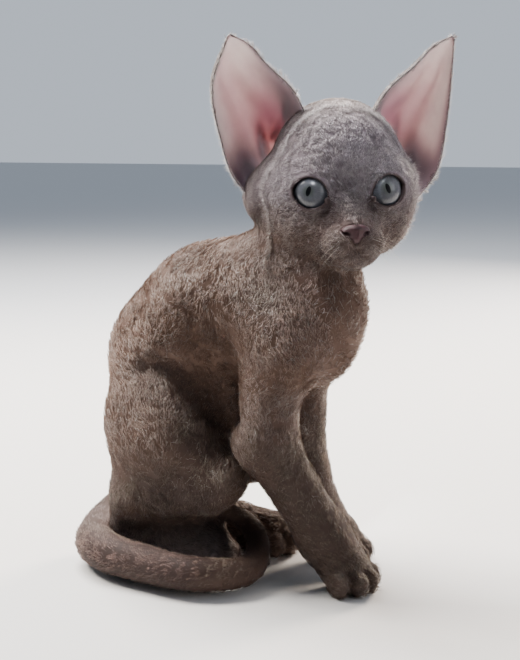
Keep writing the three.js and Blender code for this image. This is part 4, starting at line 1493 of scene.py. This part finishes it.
def eye_material(name, side):
    """A wet eye: grey-blue iris with fine spokes, dark ring at its border, a narrow upright pupil."""
    material, tree = new_material(f"wet_eye_{name}")
    _, outward, up = eye_axes(side)
    where = output(add_node(tree, "ShaderNodeTexCoord"), "Object")
    look_out, look_up = EYE_GAZE[name]
    centre = place(out_of_head(eye_centre(side) + outward * look_out + up * look_up))
    local = add_node(tree, "ShaderNodeVectorMath", {"operation": "SUBTRACT"}, {0: where, 1: tuple(centre)})
    aside, height = (add_node(tree, "ShaderNodeVectorMath", {"operation": "DOT_PRODUCT"},
                              {0: local, 1: tuple(HEAD_TURN @ axis / MM)}) for axis in (outward, up))
    flat = add_node(tree, "ShaderNodeCombineXYZ", inputs={"X": aside, "Y": height})
    radius = add_node(tree, "ShaderNodeVectorMath", {"operation": "LENGTH"}, {0: flat})
    squeezed = add_node(tree, "ShaderNodeVectorMath", {"operation": "DIVIDE"}, {0: flat, 1: (*PUPIL, 1.0)})
    slit = add_node(tree, "ShaderNodeVectorMath", {"operation": "DOT_PRODUCT"}, {0: squeezed, 1: squeezed})
    angle = add_node(tree, "ShaderNodeMath", {"operation": "ARCTAN2"}, {0: height, 1: aside})
    around = add_node(tree, "ShaderNodeMath", {"operation": "MULTIPLY"}, {0: angle, 1: 9.0})
    outwards = add_node(tree, "ShaderNodeMath", {"operation": "MULTIPLY"}, {0: radius, 1: 0.35})
    fan = add_node(tree, "ShaderNodeCombineXYZ", inputs={"X": around, "Y": outwards})
    spokes = add_node(tree, "ShaderNodeTexNoise", inputs={"Vector": fan, "Scale": 1.6, "Detail": 4.0})
    iris = tinted(tree, colour(IRIS_DARK), (spokes, IRIS_LIGHT))
    rings = [(radius, 3.6, 1.0, IRIS_MIDDLE), (radius, IRIS_RADIUS - 1.0, IRIS_RADIUS + 0.2, IRIS_BORDER),
             (slit, 1.35, 0.8, PUPIL_BLACK)]
    for value, start, full, tint in rings:
        mask = add_node(tree, "ShaderNodeMapRange", {"interpolation_type": "SMOOTHSTEP"},
                        {"Value": value, "From Min": start, "From Max": full})
        iris = tinted(tree, iris, (mask, tint))
    shader = add_node(tree, "ShaderNodeBsdfPrincipled", inputs={
        "Base Color": iris, "Roughness": 0.3, "Specular IOR Level": 0.15, "Coat Weight": 0.6,
        "Coat Roughness": 0.02})
    finish_material(tree, shader)
    return material


for name, side in SIDES.items():
    make_eye(name, side)


# Nose leather: its colours, and the sizes of its cobbles and blotches in millimetres
NOSE_DARK = "#3a272a"
NOSE_PINK = "#553639"
NOSE_COBBLE = 1000 / 1800
NOSE_BLOTCH = 1000 / 260


def nose_leather(h):
    """Distance from the nose: its pad, two comma-shaped nostrils and the groove between them."""
    total = NOSE(h)
    for side in (1, -1):
        hole = melt(0.6, limb(spot(18.9, side * 3.7, -17.5), spot(15.8, side * 4.6, -16.4), 1.25, 0.9),
                    limb(spot(17.2, side * 5.0, -16.9), spot(14.6, side * 7.0, -15.4), 0.75, 0.45))
        total = carve(0.5, total, hole(h))
    groove = limb(spot(19.8, 0, -15.6), spot(18.4, 0, -21.5), 0.25, 0.3)
    return carve(0.7, total, groove(h))


def nose_material():
    """Moist leather: dark pinkish brown, cobbled a little coarser than life so that it shows."""
    material, tree = new_material("nose_leather")
    where = output(add_node(tree, "ShaderNodeTexCoord"), "Object")
    cobbles = add_node(tree, "ShaderNodeTexVoronoi", inputs={
        "Vector": where, "Scale": per_metre(NOSE_COBBLE)})
    blotch = add_node(tree, "ShaderNodeTexNoise", inputs={"Vector": where, "Scale": per_metre(NOSE_BLOTCH)})
    bump = add_node(tree, "ShaderNodeBump", inputs={
        "Strength": 0.4, "Distance": 0.15 * MM, "Height": cobbles})
    shader = add_node(tree, "ShaderNodeBsdfPrincipled", inputs={
        "Base Color": tinted(tree, colour(NOSE_DARK), (blotch, NOSE_PINK)), "Roughness": 0.5,
        "Specular IOR Level": 0.35, "Normal": bump})
    finish_material(tree, shader)
    return material


def make_nose():
    vertices, faces = level_surface(nose_leather, (9, -8, -23), (21, 8, -11), 0.22)
    piece = mesh_object("nose_leather", out_of_head(vertices), faces)
    piece.data.materials.append(nose_material())
    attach(piece, "root")
    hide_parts("nose")


make_nose()


# Whiskers: short, brittle and a little crimped, as this breed has them
WHISKER_RADIUS = 0.07
WHISKER_STEPS = 9
WHISKER_CORNERS = 3
WHISKER_ROWS = 3
WHISKER_COLUMNS = 3
WHISKER_TOP_ROW = -19
WHISKER_ROW_GAP = 2.4
WHISKER_FIRST_ASIDE = 6.6
WHISKER_COLUMN_GAP = 2.8
WHISKER_SEED = 12


def whisker(start, way, length, sag, crimp, phase):
    """A thin tapered hair, bent down towards its tip and crimped sideways."""
    way = way / np.linalg.norm(way)
    aside = np.cross(way, spot(0, 0, 1))
    aside /= np.linalg.norm(aside)
    over = np.cross(aside, way)
    corners = range(WHISKER_CORNERS)
    vertices, faces = [], []
    for i in range(WHISKER_STEPS + 1):
        share = i / WHISKER_STEPS
        at = start + way * length * share + spot(0, 0, -sag) * share ** 2
        at = at + aside * crimp * math.sin(share * 5 + phase) * share
        if i == WHISKER_STEPS:
            vertices.append(at)
            break
        for k in corners:
            corner = 2 * math.pi * k / WHISKER_CORNERS
            thick = WHISKER_RADIUS * (1 - 0.8 * share)
            vertices.append(at + (aside * math.cos(corner) + over * math.sin(corner)) * thick)
    for i in range(WHISKER_STEPS - 1):
        for k in corners:
            a, b = i * WHISKER_CORNERS + k, i * WHISKER_CORNERS + (k + 1) % WHISKER_CORNERS
            faces.append((a, b, b + WHISKER_CORNERS, a + WHISKER_CORNERS))
    last = (WHISKER_STEPS - 1) * WHISKER_CORNERS
    tip = WHISKER_STEPS * WHISKER_CORNERS
    faces += [(last + k, last + (k + 1) % WHISKER_CORNERS, tip) for k in corners]
    faces.append(tuple(reversed(corners)))
    return vertices, faces


def make_whiskers():
    """Three rows of whiskers on each cheek and a few above each eye."""
    draw = np.random.default_rng(WHISKER_SEED)
    vertices, faces = [], []

    def add(start, way, length, sag, crimp):
        new, new_faces = whisker(start, way, length, sag, crimp, draw.uniform(0, 6))
        offset = len(vertices)
        vertices.extend(new)
        faces.extend(tuple(i + offset for i in face) for face in new_faces)

    for side in (1, -1):
        for row in range(WHISKER_ROWS):
            for column in range(WHISKER_COLUMNS):
                height = WHISKER_TOP_ROW - row * WHISKER_ROW_GAP
                aside = side * (WHISKER_FIRST_ASIDE + column * WHISKER_COLUMN_GAP)
                start = on_face(aside, height) - spot(0.8, 0, 0)
                way = spot(0.5 - 0.3 * column, side, -0.35 - 0.2 * row + draw.normal(0, 0.12))
                add(start, way, draw.uniform(6, 12), draw.uniform(1, 4), draw.uniform(0.6, 1.6))
        for column in range(WHISKER_COLUMNS):
            start = spot(-1.5 - column, side * (10 + 3 * column), 12.5 + column)
            add(start, spot(0.7, side * 0.4, 0.8), draw.uniform(6, 10), 1.5, 0.4)
    piece = mesh_object("whiskers", out_of_head(np.array(vertices)), faces)
    piece.data.materials.append(PALE_HAIR)
    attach(piece, "root")


make_whiskers()


# Camera: where it stands in the kitten's own frame, in millimetres, and how it is turned
CAMERA_PLACE = (261.04, -512.33, 208)
CAMERA_AZIMUTH = math.radians(27.0)
CAMERA_PITCH = math.radians(8.95)
CAMERA_LENS = 65.45
CAMERA_SENSOR = 36

# The ways across the view, away from the camera, and up
ACROSS = Vector((math.cos(CAMERA_AZIMUTH), math.sin(CAMERA_AZIMUTH), 0))
AWAY = Vector((-math.sin(CAMERA_AZIMUTH), math.cos(CAMERA_AZIMUTH), 0))
UP = Vector((0, 0, 1))

# Lights: how far across, away and up each stands, its size in metres, its power in watts and its tint
LIGHTS = {
    "sky": dict(at=(-0.4, 0.6, 1.3), size=0.7, power=50, tint="#f8f4f0"),
    "window": dict(at=(-0.95, 0.3, 1.2), size=0.4, power=32, tint="#fff8f0"),
    "lamp": dict(at=(0.8, 1.0, 0.6), size=0.4, power=34, tint="#ffeedd"),
    "front": dict(at=(0.05, -0.45, 0.85), size=0.07, power=0.024, tint="#e8edf4",
                  aim=(0.06, -0.02, 0.21), spread=7),
    "fill": dict(at=(0.9, -0.5, 0.4), size=0.5, power=3, tint="#f0f0f4"),
}

# The floor, in metres: its reach, its colours with painted shade near the camera, and how far off and how
# near the camera they change
FLOOR_REACH = 9
BOARD_NEAR = "#f3f1ee"
BOARD_FAR = "#d3d7dd"
BOARD_PAINTED_SHADE = "#3f4247"
BOARD_FADE_FROM, BOARD_FADE_TO = 0.3, 1.2
SHADE_FROM, SHADE_TO = 0.125, 0.21
STUDIO_GLOW = "#c3ccd8"


def set_camera():
    camera = bpy.data.cameras.new("camera")
    camera.lens = CAMERA_LENS
    camera.sensor_width = CAMERA_SENSOR
    camera.clip_start = 0.01
    seat = put_in_scene("camera", camera)
    seat.location = place(CAMERA_PLACE)
    seat.rotation_euler = (math.pi / 2 - CAMERA_PITCH, 0, CAMERA_AZIMUTH)
    bpy.context.scene.camera = seat


def add_light(name, at, size, power, tint, aim=(0, 0, 0.12), spread=180):
    light = bpy.data.lights.new(name, "AREA")
    light.size = size
    light.spread = math.radians(spread)
    light.energy = power
    light.color = colour(tint)[:3]
    lamp = put_in_scene(name, light)
    lamp.location = ACROSS * at[0] + AWAY * at[1] + UP * at[2]
    lamp.rotation_euler = (Vector(aim) - lamp.location).to_track_quat("-Z", "Y").to_euler()


def floor_material():
    """A painted board: dull and pale where the kitten sits, greyer far off, and darkened near the camera as
    painted shade.
    """
    material, tree = new_material("pale_board")
    where = output(add_node(tree, "ShaderNodeTexCoord"), "Object")
    far = add_node(tree, "ShaderNodeVectorMath", {"operation": "LENGTH"}, {0: where})
    fade = add_node(tree, "ShaderNodeMapRange", {"interpolation_type": "SMOOTHSTEP"},
                    {"Value": far, "From Min": BOARD_FADE_FROM, "From Max": BOARD_FADE_TO})
    # Painted shade on the board near the camera
    near = add_node(tree, "ShaderNodeVectorMath", {"operation": "DOT_PRODUCT"}, {0: where, 1: tuple(-AWAY)})
    shade = add_node(tree, "ShaderNodeMapRange", {"interpolation_type": "SMOOTHSTEP"},
                     {"Value": near, "From Min": SHADE_FROM, "From Max": SHADE_TO})
    base = tinted(tree, colour(BOARD_NEAR), (fade, BOARD_FAR), (shade, BOARD_PAINTED_SHADE))
    shader = add_node(tree, "ShaderNodeBsdfPrincipled", inputs={"Base Color": base, "Roughness": 0.85})
    finish_material(tree, shader)
    return material


def set_floor():
    mesh = bpy.data.meshes.new("floor")
    corners = [(x * FLOOR_REACH, y * FLOOR_REACH, 0) for x, y in ((-1, -1), (1, -1), (1, 1), (-1, 1))]
    mesh.from_pydata(corners, [], [(0, 1, 2, 3)])
    mesh.materials.append(floor_material())
    put_in_scene("floor", mesh)


def set_glow():
    """A dim room that glows behind the kitten and hardly at all on the camera's side."""
    world = bpy.data.worlds.new("studio")
    world.use_nodes = True
    tree = world.node_tree
    glow = tree.nodes["Background"]
    glow.inputs["Color"].default_value = colour(STUDIO_GLOW)
    way = output(add_node(tree, "ShaderNodeTexCoord"), "Generated")
    behind = add_node(tree, "ShaderNodeVectorMath", {"operation": "DOT_PRODUCT"},
                      {0: way, 1: (AWAY.x, AWAY.y, 0.35)})
    strength = add_node(tree, "ShaderNodeMapRange", {"interpolation_type": "SMOOTHSTEP"},
                        {"Value": behind, "From Min": -0.7, "From Max": 0.9, "To Min": 0.05, "To Max": 1.05})
    tree.links.new(output(strength), glow.inputs["Strength"])
    bpy.context.scene.world = world


set_camera()
set_floor()
set_glow()
for name, light in LIGHTS.items():
    add_light(name, **light)
